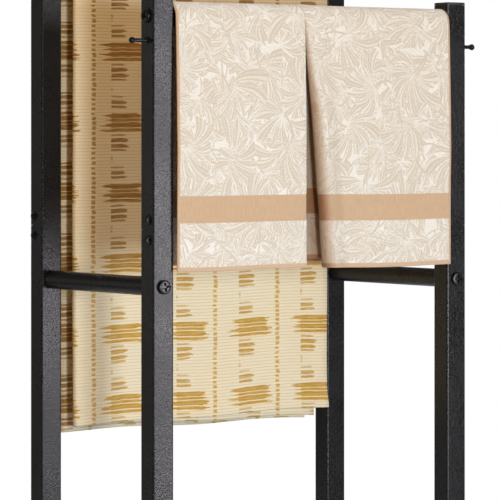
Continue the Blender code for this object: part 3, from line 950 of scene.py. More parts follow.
class TowelSettings(bpy.types.PropertyGroup):
    width: length_setting("Width", "Width of the towel before it is pleated", 0.686, 0.2, 2.0)
    length: length_setting("Length", "Length of the towel", 0.567, 0.2, 2.0)
    thickness: length_setting("Thickness", "Thickness of one layer", 0.0023, 0.0005, 0.01)
    spread: FloatProperty(
        name="Spread", description="How late the pleat opens on its way down", default=1.15,
        min=0.5, max=4.0,
    )
    opening: length_setting("Opening", "How far the pleat opens at the bottom", 0.0215, 0.0, 0.1)
    ivory: colour_setting("Ivory", "Colour of the ground", (0.775, 0.75, 0.705))
    ivory_deep: colour_setting("Ivory, deep", "The ground's deeper patches", (0.74, 0.715, 0.655))
    leaf: colour_setting("Leaf", "Colour of the darker leaves", (0.615, 0.545, 0.45))
    vein: colour_setting("Vein", "Colour of the leaves' veins", (0.54, 0.455, 0.345))
    outline: colour_setting("Outline", "Colour of the leaves' outlines", (0.80, 0.785, 0.75))
    tan: colour_setting("Tan", "Colour of the band", (0.547, 0.375, 0.23))
    tan_deep: colour_setting("Tan, deep", "The band's darker threads", (0.49, 0.327, 0.192))
    # painted shade: the tint multiplied into the cloth inside the pleat and on its soft shoulder
    inside: colour_setting("Inside", "Tint of the cloth inside the pleat", (0.50, 0.33, 0.21))
    hem: colour_setting("Hem", "Colour of the hems", (0.565, 0.40, 0.268))


class StageSettings(bpy.types.PropertyGroup):
    view_angle: FloatProperty(
        name="View angle", description="How far left of the front the camera stands",
        default=math.radians(33.88), min=0.0, max=math.pi, subtype="ANGLE",
    )
    distance: length_setting(
        "Distance", "From the camera's plane to the front left post", 3.341, 0.5, 20.0
    )
    side_step: length_setting(
        "Side step", "From the camera's axis to the front left post", 0.0999, -2.0, 2.0
    )
    below_top: length_setting(
        "Height", "How far the camera is below the front posts' tops", 0.1573, -2.0, 2.0
    )
    lens: FloatProperty(
        name="Lens", description="Focal length in millimetres", default=232.56, min=10.0, max=500.0,
    )
    fill: colour_setting("Fill", "Colour of the light from all round", (0.57, 0.335, 0.105))
    glow: FloatProperty(
        name="Glow", description="Brightness of the room in reflections", default=0.11, min=0.0, max=5.0,
    )
    lift: FloatProperty(
        name="Lens shift", description="Vertical shift of the lens", default=-0.2106, min=-1.0, max=1.0,
    )


class RACK_OT_frame_finish(bpy.types.Operator):
    """Gives the posts and the connectors inside them their finishes"""

    bl_idname = "rack.frame_finish"
    bl_label = "Finish posts"

    def execute(self, context):
        rack = context.scene.rack_settings
        steel, bolts, plastic = tuple(rack.steel), tuple(rack.bolts), tuple(rack.plastic)
        FINISHES["powder"] = finish_powder("powder_coat", steel, rack.roughness, rack.grain)
        FINISHES["bolt"] = finish_blacked_steel("blacked_steel", bolts)
        FINISHES["plastic"] = finish_plastic("cap_plastic", plastic)
        FINISHES["dark_steel"] = finish_dark_steel("dark_steel")
        for node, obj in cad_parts.items():
            finish = "dark_steel" if "connector" in node else "powder"
            for slot in obj.material_slots:
                slot.material = FINISHES[finish]
        return {"FINISHED"}


class RACK_OT_rails(bpy.types.Operator):
    """Models the bars, the crossbars and the side rails"""

    bl_idname = "rack.rails"
    bl_label = "Bars and rails"

    def execute(self, context):
        sides, chamfer = 64, 0.0005
        bore, bore_depth = 0.0032, 0.015  # the threaded holes in the ends
        for node, name in BAR_NODES.items():
            low, high = node_box(node)
            size = high - low
            axis = max(range(3), key=lambda i: size[i])
            radius = (sum(size) - size[axis]) / 4
            end = size[axis] / 2
            profile = [
                (bore, bore_depth - end),
                (bore, -end),
                (radius - chamfer, -end),
                (radius, chamfer - end),
                (radius, end - chamfer),
                (radius - chamfer, end),
                (bore, end),
                (bore, end - bore_depth),
            ]
            model = turn_profile(f"{name}_model", profile, sides)
            soften(model)
            direction = [0.0, 0.0, 0.0]
            direction[axis] = 1.0
            place = Matrix.Translation((low + high) / 2) @ outward_turn(direction)
            tube = place_copy(model, name, place)
            drop_model(model)
            finish_piece(tube, "powder", "powder_black", "rack", node)
        return {"FINISHED"}


class RACK_OT_fasteners(bpy.types.Operator):
    """Models the bolts and the joint screws"""

    bl_idname = "rack.fasteners"
    bl_label = "Bolts and screws"

    def execute(self, context):
        kinds = {
            "bolt": [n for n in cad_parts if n.endswith("_bolt")],
            "screw": [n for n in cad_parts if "_joint_screw_" in n],
        }
        # each kind's head height and shank radius, and how the recesses are turned
        shanks = {"bolt": (0.0038, 0.003), "screw": (0.0030, 0.0025)}
        first_turn, next_turn = math.radians(8.0), math.radians(41.0)
        for kind, nodes in kinds.items():
            head_height, shank_radius = shanks[kind]
            low, high = node_box(nodes[0])
            size = high - low
            model = model_fastener(
                f"{kind}_model", size.z / 2, head_height, shank_radius, max(size) - head_height
            )
            for turn, node in enumerate(nodes):
                direction = fastener_direction(node)
                seat = head_seat(node, direction, head_height)
                driven = Matrix.Rotation(first_turn + next_turn * turn, 4, "Z")
                matrix = Matrix.Translation(seat) @ outward_turn(direction) @ driven
                piece = place_copy(model, f"{node}_turned", matrix)
                finish_piece(piece, "bolt", "bolt_black", "rack", node)
            drop_model(model)
        return {"FINISHED"}


class RACK_OT_pegs(bpy.types.Operator):
    """Models the ball-ended pegs on the front posts"""

    bl_idname = "rack.pegs"
    bl_label = "Pegs"

    def execute(self, context):
        ball, stem, collar, collar_height = 0.0034, 0.0021, 0.0038, 0.0014
        thread, inside = 0.002, 0.006
        rim = 0.0003
        nodes = ["front_left_peg", "front_right_peg"]
        low, high = node_box(nodes[0])
        reach = (high - low).x - inside - ball
        steps, sides = 12, 32
        meet = math.pi - math.asin(stem / ball)
        profile = []
        for step in range(steps + 1):
            angle = max(0.06, meet * step / steps)
            profile.append((ball * math.sin(angle), reach + ball * math.cos(angle)))
        blend = 0.0006
        profile += [
            (stem, collar_height + blend),
            (stem + 0.4 * blend, collar_height + 0.3 * blend),
            (collar - rim, collar_height),
            (collar, collar_height - rim),
            (collar, 0.0),
            (thread, 0.0),
            (thread, -inside),
            (0.1 * thread, -inside),
        ]
        model = turn_profile("peg_model", profile, sides)
        soften(model)
        for node in nodes:
            low, high = node_box(node)
            sign = math.copysign(1.0, low.x)
            foot = node_centre(node)
            foot.x = (low.x + inside) if sign > 0 else (high.x - inside)
            matrix = Matrix.Translation(foot) @ outward_turn((sign, 0.0, 0.0))
            piece = place_copy(model, f"{node}_turned", matrix)
            finish_piece(piece, "powder", "powder_black", "rack", node)
        drop_model(model)
        return {"FINISHED"}


def model_cap(name, side, plate, chamfer, dome, corner, plug_side, plug_length):
    """A square plate above z = 0 with bevelled edges, and a hollow plug under it."""
    start_clean()
    bpy.ops.mesh.primitive_cube_add(size=1.0, location=(0.0, 0.0, plate / 2))
    cap = bpy.context.object
    cap.name = name
    cap.scale = (side, side, plate)
    bpy.ops.object.transform_apply(location=True, rotation=False, scale=True)

    def pick(kind, test):
        shape = bmesh.from_edit_mesh(cap.data)
        for element in (*shape.verts, *shape.edges, *shape.faces):
            element.select = False
        for element in getattr(shape, kind):
            if test(element):
                element.select_set(True)
        bmesh.update_edit_mesh(cap.data)

    def grow(scale, lift, height):
        bpy.ops.mesh.extrude_region_move(TRANSFORM_OT_translate={"value": (0.0, 0.0, lift)})
        bpy.ops.transform.resize(
            value=(scale, scale, 1.0), center_override=(0.0, 0.0, height + lift)
        )

    bpy.ops.object.mode_set(mode="EDIT")
    bpy.ops.mesh.select_mode(type="EDGE")
    pick("edges", lambda e: abs(e.verts[0].co.z - e.verts[1].co.z) > plate / 2)
    bpy.ops.mesh.bevel(offset=corner, segments=5, affect="EDGES")
    pick("edges", lambda e: min(v.co.z for v in e.verts) > plate - 1e-6)
    bpy.ops.mesh.bevel(offset=chamfer, segments=4, affect="EDGES")
    bpy.ops.mesh.select_mode(type="FACE")
    pick("faces", lambda f: f.normal.z > 0.99 and f.calc_center_median().z > plate - 1e-6)
    height = plate
    for scale, rise in ((0.9, 0.25), (0.75, 0.35), (0.55, 0.25), (0.3, 0.15)):
        grow(scale, rise * dome, height)
        height += rise * dome
    pick("faces", lambda f: f.normal.z < -0.99)
    grow(plug_side / side, 0.0, 0.0)
    grow(1.0, -plug_length, 0.0)
    grow(0.82, 0.0, -plug_length)
    grow(1.0, 0.9 * plug_length, -plug_length)
    bpy.ops.object.mode_set(mode="OBJECT")
    soften(cap, CAP_SMOOTH_ANGLE)
    return cap


class RACK_OT_caps(bpy.types.Operator):
    """Models the caps and the feet"""

    bl_idname = "rack.caps"
    bl_label = "Caps and feet"

    def execute(self, context):
        dome = context.scene.rack_settings.cap_dome
        corner, plug_length, plug_side = 0.0018, 0.008, 0.022
        for kind, chamfer in (("cap", 0.0013), ("foot", 0.0008)):
            low, high = node_box(f"front_left_{kind}")
            plate = high.z - low.z - plug_length
            rise = dome if kind == "cap" else 0.0
            side = high.x - low.x
            model = model_cap(
                f"{kind}_model", side, plate - rise, chamfer, rise, corner, plug_side, plug_length
            )
            for where in CORNERS:
                node = f"{where}_{kind}"
                low, high = node_box(node)
                seat = (low + high) / 2
                seat.z = high.z - plate if kind == "cap" else low.z + plate
                turn = Matrix.Identity(4) if kind == "cap" else Matrix.Rotation(math.pi, 4, "X")
                piece = place_copy(model, f"{node}_moulded", Matrix.Translation(seat) @ turn)
                finish_piece(piece, "plastic", "cap_black", "rack", node)
            drop_model(model)
        return {"FINISHED"}


# ---------------------------------------------------------------- cloth


class Hanging:
    """How a cloth lies over a bar: down the front, over the top and down the back.

    A point is given by x, by its distance r from the bar's centre line and by its place v along the
    cloth from the front hem. front and back are the drops of the outer layer's two ends.
    """

    def __init__(self, bar_node, outer, front, back):
        centre = node_centre(bar_node)
        self.y, self.z, self.outer = centre.y, centre.z, outer
        self.front, self.back = front, back
        self.over = math.pi * outer
        self.length = front + self.over + back

    def fall(self, v):
        """How far down the front and down the back a place is, each from 0 at the bar to 1 at the hem."""
        front = np.clip((self.front - v) / self.front, 0.0, 1.0)
        back = np.clip((v - self.front - self.over) / self.back, 0.0, 1.0)
        return front, back

    def place(self, x, r, v, front_drop, back_drop):
        front, back = self.fall(v)
        turn = np.clip((v - self.front) / self.over, 0.0, 1.0) * math.pi
        y = self.y - r * np.cos(turn)
        z = self.z + r * np.sin(turn) - front * front_drop - back * back_drop
        return x, y, z


def section_normals(x, r):
    """The unit normal on the outer side of each point of a section."""
    dx = np.gradient(x, axis=1)
    dr = np.gradient(r, axis=1)
    size = np.hypot(dx, dr)
    return dr / size, -dx / size


def folded_cloth(name, plus, minus, edges, uv, fine, coarse_step):
    """A closed mesh of a thick folded cloth.

    plus and minus hold the points of its two sides, edges those of its two free edges. A column that
    isn't fine keeps only every coarse_step-th row.
    """
    rows, stations = plus.shape[0], plus.shape[1]
    columns = [edges[:, 0]] + [plus[:, i] for i in range(stations)] + [edges[:, 1]]
    columns += [minus[:, i] for i in reversed(range(stations))]
    flat = [uv[:, 0]] + [uv[:, i] for i in range(stations)] + [uv[:, -1]]
    flat += [uv[:, i] for i in reversed(range(stations))]
    is_fine = [False] + list(fine) + [False] + [False] * stations
    every = [list(range(rows)) if f else list(range(0, rows, coarse_step)) for f in is_fine]
    starts = np.cumsum([0] + [len(e) for e in every])
    points = np.concatenate([c[e] for c, e in zip(columns, every)])
    uvs = np.concatenate([c[e] for c, e in zip(flat, every)])

    def side(column, block):
        """A column's points along one block of rows."""
        if is_fine[column]:
            steps = range(block * coarse_step, (block + 1) * coarse_step + 1)
        else:
            steps = (block, block + 1)
        return [starts[column] + step for step in steps]

    faces = []
    count = len(columns)
    for i in range(count):
        j = (i + 1) % count
        for block in range((rows - 1) // coarse_step):
            left, right = side(i, block), side(j, block)
            if is_fine[i] and is_fine[j]:
                for k in range(coarse_step):
                    faces.append((left[k], left[k + 1], right[k + 1], right[k]))
            else:
                faces.append(tuple(left + right[::-1]))
    # close the two hems, each side's station with its partner on the other side
    for last in (False, True):
        index = [int(starts[i] + (len(every[i]) - 1 if last else 0)) for i in range(count)]
        front = index[1 : 1 + stations]
        back = index[2 + stations :][::-1]
        ends = [(index[0], front[0], back[0]), (front[-1], index[1 + stations], back[-1])]
        for i in range(stations - 1):
            ends.append((front[i], front[i + 1], back[i + 1], back[i]))
        faces += [f if not last else f[::-1] for f in ends]
    mesh = bpy.data.meshes.new(name)
    mesh.from_pydata(points.tolist(), [], [tuple(int(k) for k in f) for f in faces])
    layer = mesh.uv_layers.new(name="flat_cloth")
    loops = np.empty(len(mesh.loops), dtype=np.int32)
    mesh.loops.foreach_get("vertex_index", loops)
    layer.data.foreach_set("uv", uvs[loops].astype(np.float32).ravel())
    mesh.validate()
    piece = bpy.data.objects.new(name, mesh)
    bpy.context.collection.objects.link(piece)
    shape = bmesh.new()
    shape.from_mesh(mesh)
    bmesh.ops.recalc_face_normals(shape, faces=shape.faces)
    shape.to_mesh(mesh)
    shape.free()
    mesh.shade_smooth()
    return piece


def ripple(x, z, size, seed):
    """Slow random undulation of a hanging cloth, about -1 to 1."""
    flat_x, flat_z = np.broadcast_arrays(x, z)
    values = [
        noise.noise(Vector((a / size, b / size, seed))) for a, b in zip(flat_x.ravel(), flat_z.ravel())
    ]
    return np.array(values).reshape(flat_x.shape)


# Waves of the hanging leaves: (how far drawn out downwards, size, seed, depth)
QUILT_WAVES = ((0.35, 0.13, 1.0, 0.0032), (1.0, 0.05, 2.0, 0.0007))
TOWEL_WAVES = ((0.5, 0.11, 7.0, 0.0022), (1.0, 0.035, 9.0, 0.0006))


def waves(x, v, kinds):
    return sum(ripple(x, drawn * v, size, seed) * depth for drawn, size, seed, depth in kinds)


def layer_arc(centre_x, centre_r, radius, start, end, steps):
    """Points of a fold, without its two ends. The turns are in quarters."""
    turns = np.linspace(start * math.pi / 2, end * math.pi / 2, steps + 2)[1:-1]
    return centre_x + radius * np.cos(turns), centre_r + radius * np.sin(turns)


def free_edges(middle, thick):
    """The points of a cloth's two free edges, rounded out past its middle surface."""
    edges = []
    for edge, beside in ((middle[:, 0], middle[:, 1]), (middle[:, -1], middle[:, -2])):
        outward = edge - beside
        outward = outward / np.linalg.norm(outward, axis=1)[:, None]
        edges.append(edge + outward * thick * 0.4)
    return np.stack(edges, axis=1)


# The quilt's second fold and its hidden edge stop short of its free edge
FOLD_SHORT = 0.028
HIDDEN_EDGE_SHORT = 0.017
# How far the hems are above the lowest one, at both ends of each layer in turn, from the free edge on
FRONT_RISE = [0.0142, 0.0087, 0.0087, 0.0030, 0.0025, 0.0080, 0.0082, 0.0053]
BACK_RISE = [0.0003, 0.0001, 0.0001, 0.0011, 0.0011, 0.0005, 0.0005, 0.0008]


class RACK_OT_quilt(bpy.types.Operator):
    """Folds the quilt in four and hangs it over the back bar"""

    bl_idname = "rack.quilt"
    bl_label = "Quilt"

    def execute(self, context):
        settings = context.scene.quilt_settings
        low, high = node_box("quilt")
        thick = settings.thickness
        spacing = thick + LAYER_GAP
        inner = node_radius("back_bar") + BAR_GAP + thick / 2
        radii = [inner + spacing * layer for layer in range(4)]  # the last is the outer layer's
        big, small = 1.5 * spacing, 0.5 * spacing
        left, right = low.x, high.x
        turned, ended = right - FOLD_SHORT - small, right - HIDDEN_EDGE_SHORT
        fold_x = left + big

        def span(start, end, layer, count):
            return np.linspace(start, end, count + 1), np.full(count + 1, radii[layer])

        # the section, from the outer layer's free edge round the folds to the hidden free edge
        spans = [
            span(right, fold_x, 3, 48),
            layer_arc(fold_x, radii[0] + big, big, 1, 3, 8),
            span(fold_x, turned, 0, 12),
            layer_arc(turned, radii[0] + small, small, -1, 1, 5),
            span(turned, fold_x, 1, 12),
            layer_arc(fold_x, radii[1] + small, small, 3, 1, 5),
            span(fold_x, ended, 2, 12),
        ]
        x = np.concatenate([s[0] for s in spans])[None, :]
        r = np.concatenate([s[1] for s in spans])[None, :]
        counts = np.cumsum([len(s[0]) for s in spans])
        stations = x.shape[1]
        walked = np.concatenate([[0.0], np.cumsum(np.hypot(np.diff(x[0]), np.diff(r[0])))])

        ends = [0, counts[0] - 1, counts[1], counts[2] - 1, counts[3], counts[4] - 1, counts[5]]
        ends.append(stations - 1)
        bar_height = node_centre("back_bar").z - low.z
        front_drop = bar_height - np.interp(np.arange(stations), ends, FRONT_RISE)[None, :]
        back_drop = bar_height - np.interp(np.arange(stations), ends, BACK_RISE)[None, :]
        middle = 20  # a station near the middle of the outer layer
        hang = Hanging("back_bar", radii[3], float(front_drop[0, middle]), float(back_drop[0, middle]))
        ribs = int(settings.ribs)
        rows = 2 * ribs + 1
        v = (np.linspace(0.0, hang.length, rows))[:, None]
        front, back = hang.fall(v)
        fallen = np.maximum(front, back)

        nx, nr = section_normals(x, r)
        hem = np.minimum(v, hang.length - v)
        lie = 0.55 + 0.45 * smooth_step(hem / 0.003)
        outer_layer = (np.arange(stations) < counts[0])[None, :]

        def shaped(side, rib_height):
            half = side * thick / 2 * lie
            lift = 0.0
            if rib_height:
                crest = (np.arange(rows) % 2)[:, None] - 0.5
                uneven = 1.0 + 0.5 * ripple(x, v, 0.016, 5.0)
                lift = rib_height * crest * uneven * outer_layer
            px = x + nx * half
            pr = r + nr * (half + lift)
            pr = inner + (pr - inner) * (1.0 + 0.30 * smooth_step(fallen * 1.6))
            across = (px - left) / (right - left)
            # the back leaf hangs a little narrower, and the outer layer's corner flares
            px = px - 0.0100 * smooth_step(back * 6.0) * across
            corner = smooth_step(1.0 - v / 0.022) * outer_layer
            px = px + 0.0026 * corner * smooth_step((across - 0.8) / 0.2)
            wave = waves(px, v, QUILT_WAVES)
            px, py, pz = hang.place(px, pr, v, front_drop, back_drop)
            py = py - smooth_step(front * 1.3) * wave + smooth_step(back * 1.3) * wave * 0.6
            wavy = 0.0013 * np.sin(2 * math.pi * (px - left) / 0.19 + 2.0)
            return np.stack([px, py, pz - wavy * smooth_step((fallen - 0.6) / 0.4)], axis=-1)

        plus, minus = shaped(1.0, settings.rib), shaped(-1.0, 0.0)
        edges = free_edges(shaped(0.0, 0.0), thick)
        across = np.broadcast_to(walked[None, :] / settings.width, (rows, stations))
        along = np.broadcast_to(v / settings.length, (rows, stations))
        uv = np.stack([across, along], axis=-1)
        fine = [True] * int(counts[0]) + [False] * int(stations - counts[0])
        quilt = folded_cloth("folded_quilt", plus, minus, edges, uv, fine, 4)
        FINISHES["quilt"] = finish_quilt(settings, (settings.width, settings.length), hang.length / ribs)
        finish_piece(quilt, "quilt", "quilt_cotton", "quilt", "quilt")
        return {"FINISHED"}


# The towel's zones, from its left edge and from its hems
PLEAT_AT = 0.162
TOWEL_HEMS = (0.0048, 0.0019)  # at the ends and at the sides
TOWEL_BAND = (0.0505, 0.0785)
REAR_SHORT = 0.005  # the rear leaf's drop is this much less than the front one's


class RACK_OT_towel(bpy.types.Operator):
    """Pleats the towel and hangs it over the front bar"""

    bl_idname = "rack.towel"
    bl_label = "Towel"

    def execute(self, context):
        settings = context.scene.towel_settings
        low, high = node_box("towel")
        bar_radius = node_radius("front_bar")
        thick = settings.thickness
        spacing = thick + LAYER_GAP
        inner = bar_radius + BAR_GAP + thick / 2
        under, turn_back, outer = inner, inner + spacing, inner + 2 * spacing
        left, right = low.x, high.x + 0.001
        pleat = left + PLEAT_AT
        depth = (settings.width - (right - left)) / 4
        end_hem, side_hem = TOWEL_HEMS
        band_low, band_high = TOWEL_BAND
        fold = spacing / 2

        drop = node_centre("front_bar").z - low.z
        hang = Hanging("front_bar", outer, drop, drop - REAR_SHORT)
        total = hang.length
        # rows follow the hem and the band closely
        breaks = [0.0, 0.0012, 0.003, end_hem - 0.0005, end_hem + 0.0003]
        breaks += [mark + aside for mark in TOWEL_BAND for aside in (-0.0004, 0.0004)]
        grid = set(np.round(np.linspace(0.0, total, 150), 6))
        marks = set(breaks) | {round(total - b, 6) for b in breaks}
        clear = {g for g in grid if g == 0.0 or min(abs(g - m) for m in marks) > 0.0008}
        v = np.array(sorted(clear | marks))[:, None]
        rows = len(v)
        front, back = hang.fall(v)
        opened = settings.opening * front**settings.spread + 0.004 * back**1.5
        bulge = 0.0078 * smooth_step(front * 2.4) + 0.0012
        edge_x = pleat + 0.0006 + opened

        def span(start, end, radius, count):
            t = np.linspace(0.0, 1.0, count + 1)[None, :]
            return start + (end - start) * t + 0 * v, radius + 0 * (t + v)

        def arc(centre_x, centre_r, radius, start, end, steps):
            return layer_arc(centre_x + 0 * v, centre_r + 0 * v, radius, start, end, steps)

        def sunk(start, end):
            """The hidden middle layer, drawn in behind the pleat's mouth."""
            t = np.linspace(0.0, 1.0, 41)[None, :]
            across = start + (end - start) * t
            mouth = np.exp(-(((across - (pleat + edge_x) / 2 - 0.004) / 0.032) ** 2))
            return across, under - 0.0085 * smooth_step(front * 1.8) * mouth

        soft = fold + bulge / 2
        reach = 0.030  # how far the soft fold's bulge runs into the right panel
        inside_left, inside_right = pleat - depth + fold, edge_x + depth - fold
        spans = [
            span(left, pleat - fold, outer, 40),
            arc(pleat - fold, outer - fold, fold, 1, -1, 6),
            span(pleat - fold, inside_left, turn_back, 12),
            arc(inside_left, under + fold, fold, 1, 3, 6),
            sunk(inside_left, inside_right),
            arc(inside_right, under + fold, fold, -1, 1, 6),
            span(inside_right, edge_x + soft, turn_back, 12),
            arc(edge_x + soft, turn_back + soft, soft, 3, 1, 10),
        ]
        start = edge_x + soft
        t = np.linspace(0.0, 1.0, 45)[None, :] ** 1.25
        panel_x = start + (right - start) * t
        fade = np.clip((panel_x - start) / reach, 0.0, 1.0)
        panel_r = outer + bulge * (1.0 - smooth_step(fade))
        spans.append((panel_x, panel_r))
        x = np.concatenate([s[0] for s in spans], axis=1)
        r = np.concatenate([s[1] for s in spans], axis=1)
        counts = np.cumsum([s[0].shape[1] for s in spans])
        stations = x.shape[1]
        steps = np.hypot(np.diff(x, axis=1), np.diff(r, axis=1))
        walked = np.concatenate([np.zeros((rows, 1)), np.cumsum(steps, axis=1)], axis=1)
        width = float(walked[:, -1].mean())

        # the hidden layers of the pleat are drawn up a little at the front
        short = 0.0088
        marks = [0, counts[0] - 1, counts[2], counts[4] - 1, counts[6], stations - 1]
        shorter = np.interp(np.arange(stations), marks, [0.0, 0.0, short, short, 0.0, 0.0])[None, :]
        front_drop = hang.front - shorter
        back_drop = hang.back - 0.5 * shorter

        nx, nr = section_normals(x, r)
        hem_v = np.minimum(v, total - v)
        hem_s = np.minimum(walked, walked[:, -1:] - walked)
        # the band is thinner than the figured cloth, and the hems are thicker
        body = 1.0 - 0.22 * (1 - up_to(hem_v, band_low)) * up_to(hem_v, band_high)
        hemmed = 1.0 + 0.30 * np.maximum(up_to(hem_v, end_hem), up_to(hem_s, side_hem))
        lie = (0.5 + 0.5 * smooth_step(hem_v / 0.0014)) * body * hemmed
        top = np.abs(v - hang.front - hang.over / 2)
        squeeze = 1.0 - 0.29 * np.exp(-((top / 0.030) ** 2))

        def shaped(side):
            half = side * thick / 2 * lie
            px = x + nx * half
            pr = r + nr * half
            pr = bar_radius + BAR_GAP + (pr - bar_radius - BAR_GAP) * squeeze
            loose = 0.0016 * smooth_step(front * 2.0) + 0.0008 * smooth_step(back * 2.0)
            pr = pr + loose * (r - inner) / (outer - inner)
            wave = waves(px, v, TOWEL_WAVES)
            px, py, pz = hang.place(px, pr, v, front_drop, back_drop)
            py = py - smooth_step(front * 1.5) * wave + smooth_step(back * 1.5) * wave
            dip = 0.0009 * np.sin(2 * math.pi * (px - left) / 0.23 + 0.6) * smooth_step((front - 0.5) / 0.5)
            return np.stack([px, py, pz - dip], axis=-1)

        plus, minus = shaped(1.0), shaped(-1.0)
        edges = free_edges(shaped(0.0), thick)
        # each panel is measured from its own hem, and the pleat takes up the difference
        first_fold = walked[:, counts[0] - 1 : counts[0]]
        last_fold = walked[:, counts[7] - 1 : counts[7]]
        taken = np.clip((walked - first_fold) / (last_fold - first_fold), 0.0, 1.0)
        walked = walked + (width - walked[:, -1:]) * taken
        uv = np.stack([walked / width, np.broadcast_to(v / total, walked.shape)], axis=-1)
        towel = folded_cloth("pleated_towel", plus, minus, edges, uv, [False] * stations, 1)
        zones = {
            "pleat_start": pleat - left,
            "pleat_end": width - (right - pleat),
            "drop": hang.front,
            "band_low": band_low,
            "band_high": band_high,
            "side_hem": side_hem,
            "end_hem": end_hem,
        }
        FINISHES["towel"] = finish_towel(settings, (width, total), zones)
        finish_piece(towel, "towel", "towel_cotton", "towel", "towel")
        return {"FINISHED"}


# ---------------------------------------------------------------- stage


def add_softbox(name, place, target, size, power, colour, only_glossy):
    """A rectangular light that faces its target and can't be seen itself."""
    light = bpy.data.lights.new(name, "AREA")
    light.shape = "RECTANGLE"
    light.size, light.size_y = size
    light.energy = power
    light.color = colour
    lamp = bpy.data.objects.new(name, light)
    bpy.context.collection.objects.link(lamp)
    lamp.visible_camera = False
    lamp.visible_diffuse = not only_glossy
    lamp.location = place
    lamp.rotation_euler = (Vector(target) - Vector(place)).to_track_quat("-Z", "Y").to_euler()


# Softboxes: (name, place, target, size, power, colour, whether it shows in reflections only)
SOFTBOXES = [
    ("key_softbox", (-0.17, -2.45, 0.40), (0.0, 0.0, 0.40), (1.30, 0.60), 27.5, (0.52, 0.74, 0.97), False),
    ("left_softbox", (-0.84, -2.45, 0.40), (0.0, 0.0, 0.40), (0.30, 0.60), 30.5, (0.88, 0.94, 1.0), False),
    ("top_softbox", (0.10, 0.10, 2.20), (0.0, 0.0, 0.5), (1.60, 1.20), 15.0, (0.45, 0.725, 1.0), False),
    ("side_softbox", (1.90, 1.10, 0.90), (0.05, -0.10, 0.50), (0.80, 0.80), 26.0, (0.75, 0.87, 1.0), False),
    ("rear_softbox", (0.60, 2.40, 0.60), (0.0, 0.0, 0.5), (1.00, 1.00), 30.0, (0.567, 0.767, 1.0), False),
    ("near_sheen", (0.42, -1.12, 0.40), (-0.19, -0.13, 0.40), (0.20, 0.80), 13.5, (1.0, 0.95, 1.0), True),
    ("left_sheen", (-1.55, 1.45, 0.50), (-0.20, -0.05, 0.50), (0.50, 1.00), 1.9, (1.0, 1.0, 1.0), True),
]


WHITE = (1.0, 1.0, 1.0)


def make_floor():
    """A round sheet of pale paper that fades out towards its edge."""
    start_clean()
    bpy.ops.mesh.primitive_circle_add(vertices=128, radius=3.0, fill_type="NGON")
    floor = bpy.context.object
    floor.name = "studio_floor"
    material, bench, shader = new_material("studio_paper", (0.9, 0.9, 0.9))
    place = bench.object_place()
    far = bench.add("ShaderNodeVectorMath", operation="LENGTH")
    bench.feed(far.inputs[0], place)
    fade = bench.invert(bench.step(far.outputs["Value"], 0.55, 1.15))
    bench.feed(shader.inputs["Alpha"], fade)
    tooth = bench.noise(place, 500.0, 3.0, 0.6)
    grey = bench.remap(tooth, 0.3, 0.7, 0.97, 1.0)
    bench.feed(shader.inputs["Base Color"], bench.shaded((0.66, 0.78, 0.94), grey))
    bench.feed(shader.inputs["Roughness"], 0.9)
    bench.feed(shader.inputs["Normal"], bench.bump(tooth, 0.1, 0.0002))
    floor.data.materials.append(material)


def make_room(scene, settings):
    """White to the camera, a weak white in reflections and a warm fill on everything else."""
    world = bpy.data.worlds.new("studio")
    world.use_nodes = True
    scene.world = world
    bench = NodeBench(world.node_tree)
    background = world.node_tree.nodes["Background"]
    path = bench.add("ShaderNodeLightPath").outputs
    warm = bench.mix(path["Is Glossy Ray"], settings.fill, [settings.glow] * 3)
    bench.feed(background.inputs["Color"], bench.mix(path["Is Camera Ray"], warm, WHITE))
    background.inputs["Strength"].default_value = 1.0


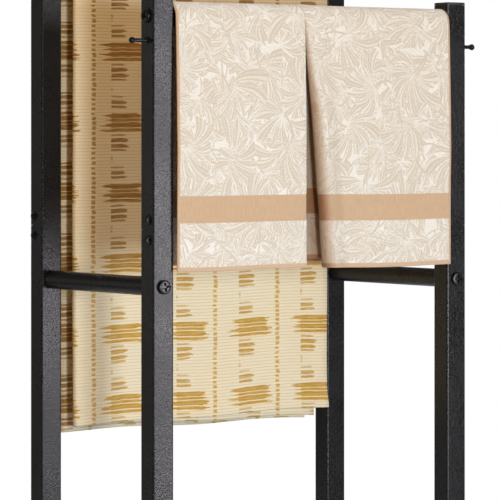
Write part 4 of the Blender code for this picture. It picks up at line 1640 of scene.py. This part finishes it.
def make_camera(scene, settings):
    """A camera level with the rack, set off from the top of its front left post."""
    low, _ = node_box("front_left_post_lower")
    _, high = node_box("front_left_cap")
    angle = settings.view_angle
    ahead = Vector((math.sin(angle), math.cos(angle), 0.0))
    aside = Vector((math.cos(angle), -math.sin(angle), 0.0))
    camera = bpy.data.cameras.new("studio_camera")
    camera.lens = settings.lens
    camera.sensor_width = 36.0
    camera.shift_y = settings.lift
    camera.clip_end = 100.0
    stand = bpy.data.objects.new("studio_camera", camera)
    bpy.context.collection.objects.link(stand)
    stand.location = Vector((low.x, low.y, high.z - settings.below_top))
    stand.location += aside * settings.side_step - ahead * settings.distance
    stand.rotation_euler = (math.pi / 2, 0.0, -angle)
    scene.camera = stand


class RACK_OT_stage(bpy.types.Operator):
    """Adds the floor, the lights, the sky and the camera"""

    bl_idname = "rack.stage"
    bl_label = "Stage"

    def execute(self, context):
        settings = context.scene.stage_settings
        make_floor()
        make_room(context.scene, settings)
        for softbox in SOFTBOXES:
            add_softbox(*softbox)
        context.scene.view_settings.view_transform = "Standard"
        make_camera(context.scene, settings)
        return {"FINISHED"}


STEPS = (
    RACK_OT_frame_finish,
    RACK_OT_rails,
    RACK_OT_fasteners,
    RACK_OT_pegs,
    RACK_OT_caps,
    RACK_OT_quilt,
    RACK_OT_towel,
    RACK_OT_stage,
)
SETTINGS = {
    "rack_settings": RackSettings,
    "quilt_settings": QuiltSettings,
    "towel_settings": TowelSettings,
    "stage_settings": StageSettings,
}


class RACK_PT_panel(bpy.types.Panel):
    """The rack's sizes, colours and steps"""

    bl_idname = "RACK_PT_panel"
    bl_label = "Quilt Rack"
    bl_space_type = "VIEW_3D"
    bl_region_type = "UI"
    bl_category = "Quilt Rack"

    def draw(self, context):
        for name, group in SETTINGS.items():
            box = self.layout.box()
            box.label(text=name.replace("_", " ").capitalize())
            for key in group.__annotations__:
                box.prop(getattr(context.scene, name), key)
        for step in STEPS:
            self.layout.operator(step.bl_idname)


def register():
    for group in SETTINGS.values():
        bpy.utils.register_class(group)
    for name, group in SETTINGS.items():
        setattr(bpy.types.Scene, name, PointerProperty(type=group))
    for step in (*STEPS, RACK_PT_panel):
        bpy.utils.register_class(step)


def unregister():
    for step in (RACK_PT_panel, *reversed(STEPS)):
        bpy.utils.unregister_class(step)
    for name, group in SETTINGS.items():
        delattr(bpy.types.Scene, name)
        bpy.utils.unregister_class(group)


def main():
    register()
    bpy.ops.rack.frame_finish()
    bpy.ops.rack.rails()
    bpy.ops.rack.fasteners()
    bpy.ops.rack.pegs()
    bpy.ops.rack.caps()
    bpy.ops.rack.quilt()
    bpy.ops.rack.towel()
    bpy.ops.rack.stage()


if __name__ == "__main__":
    main()
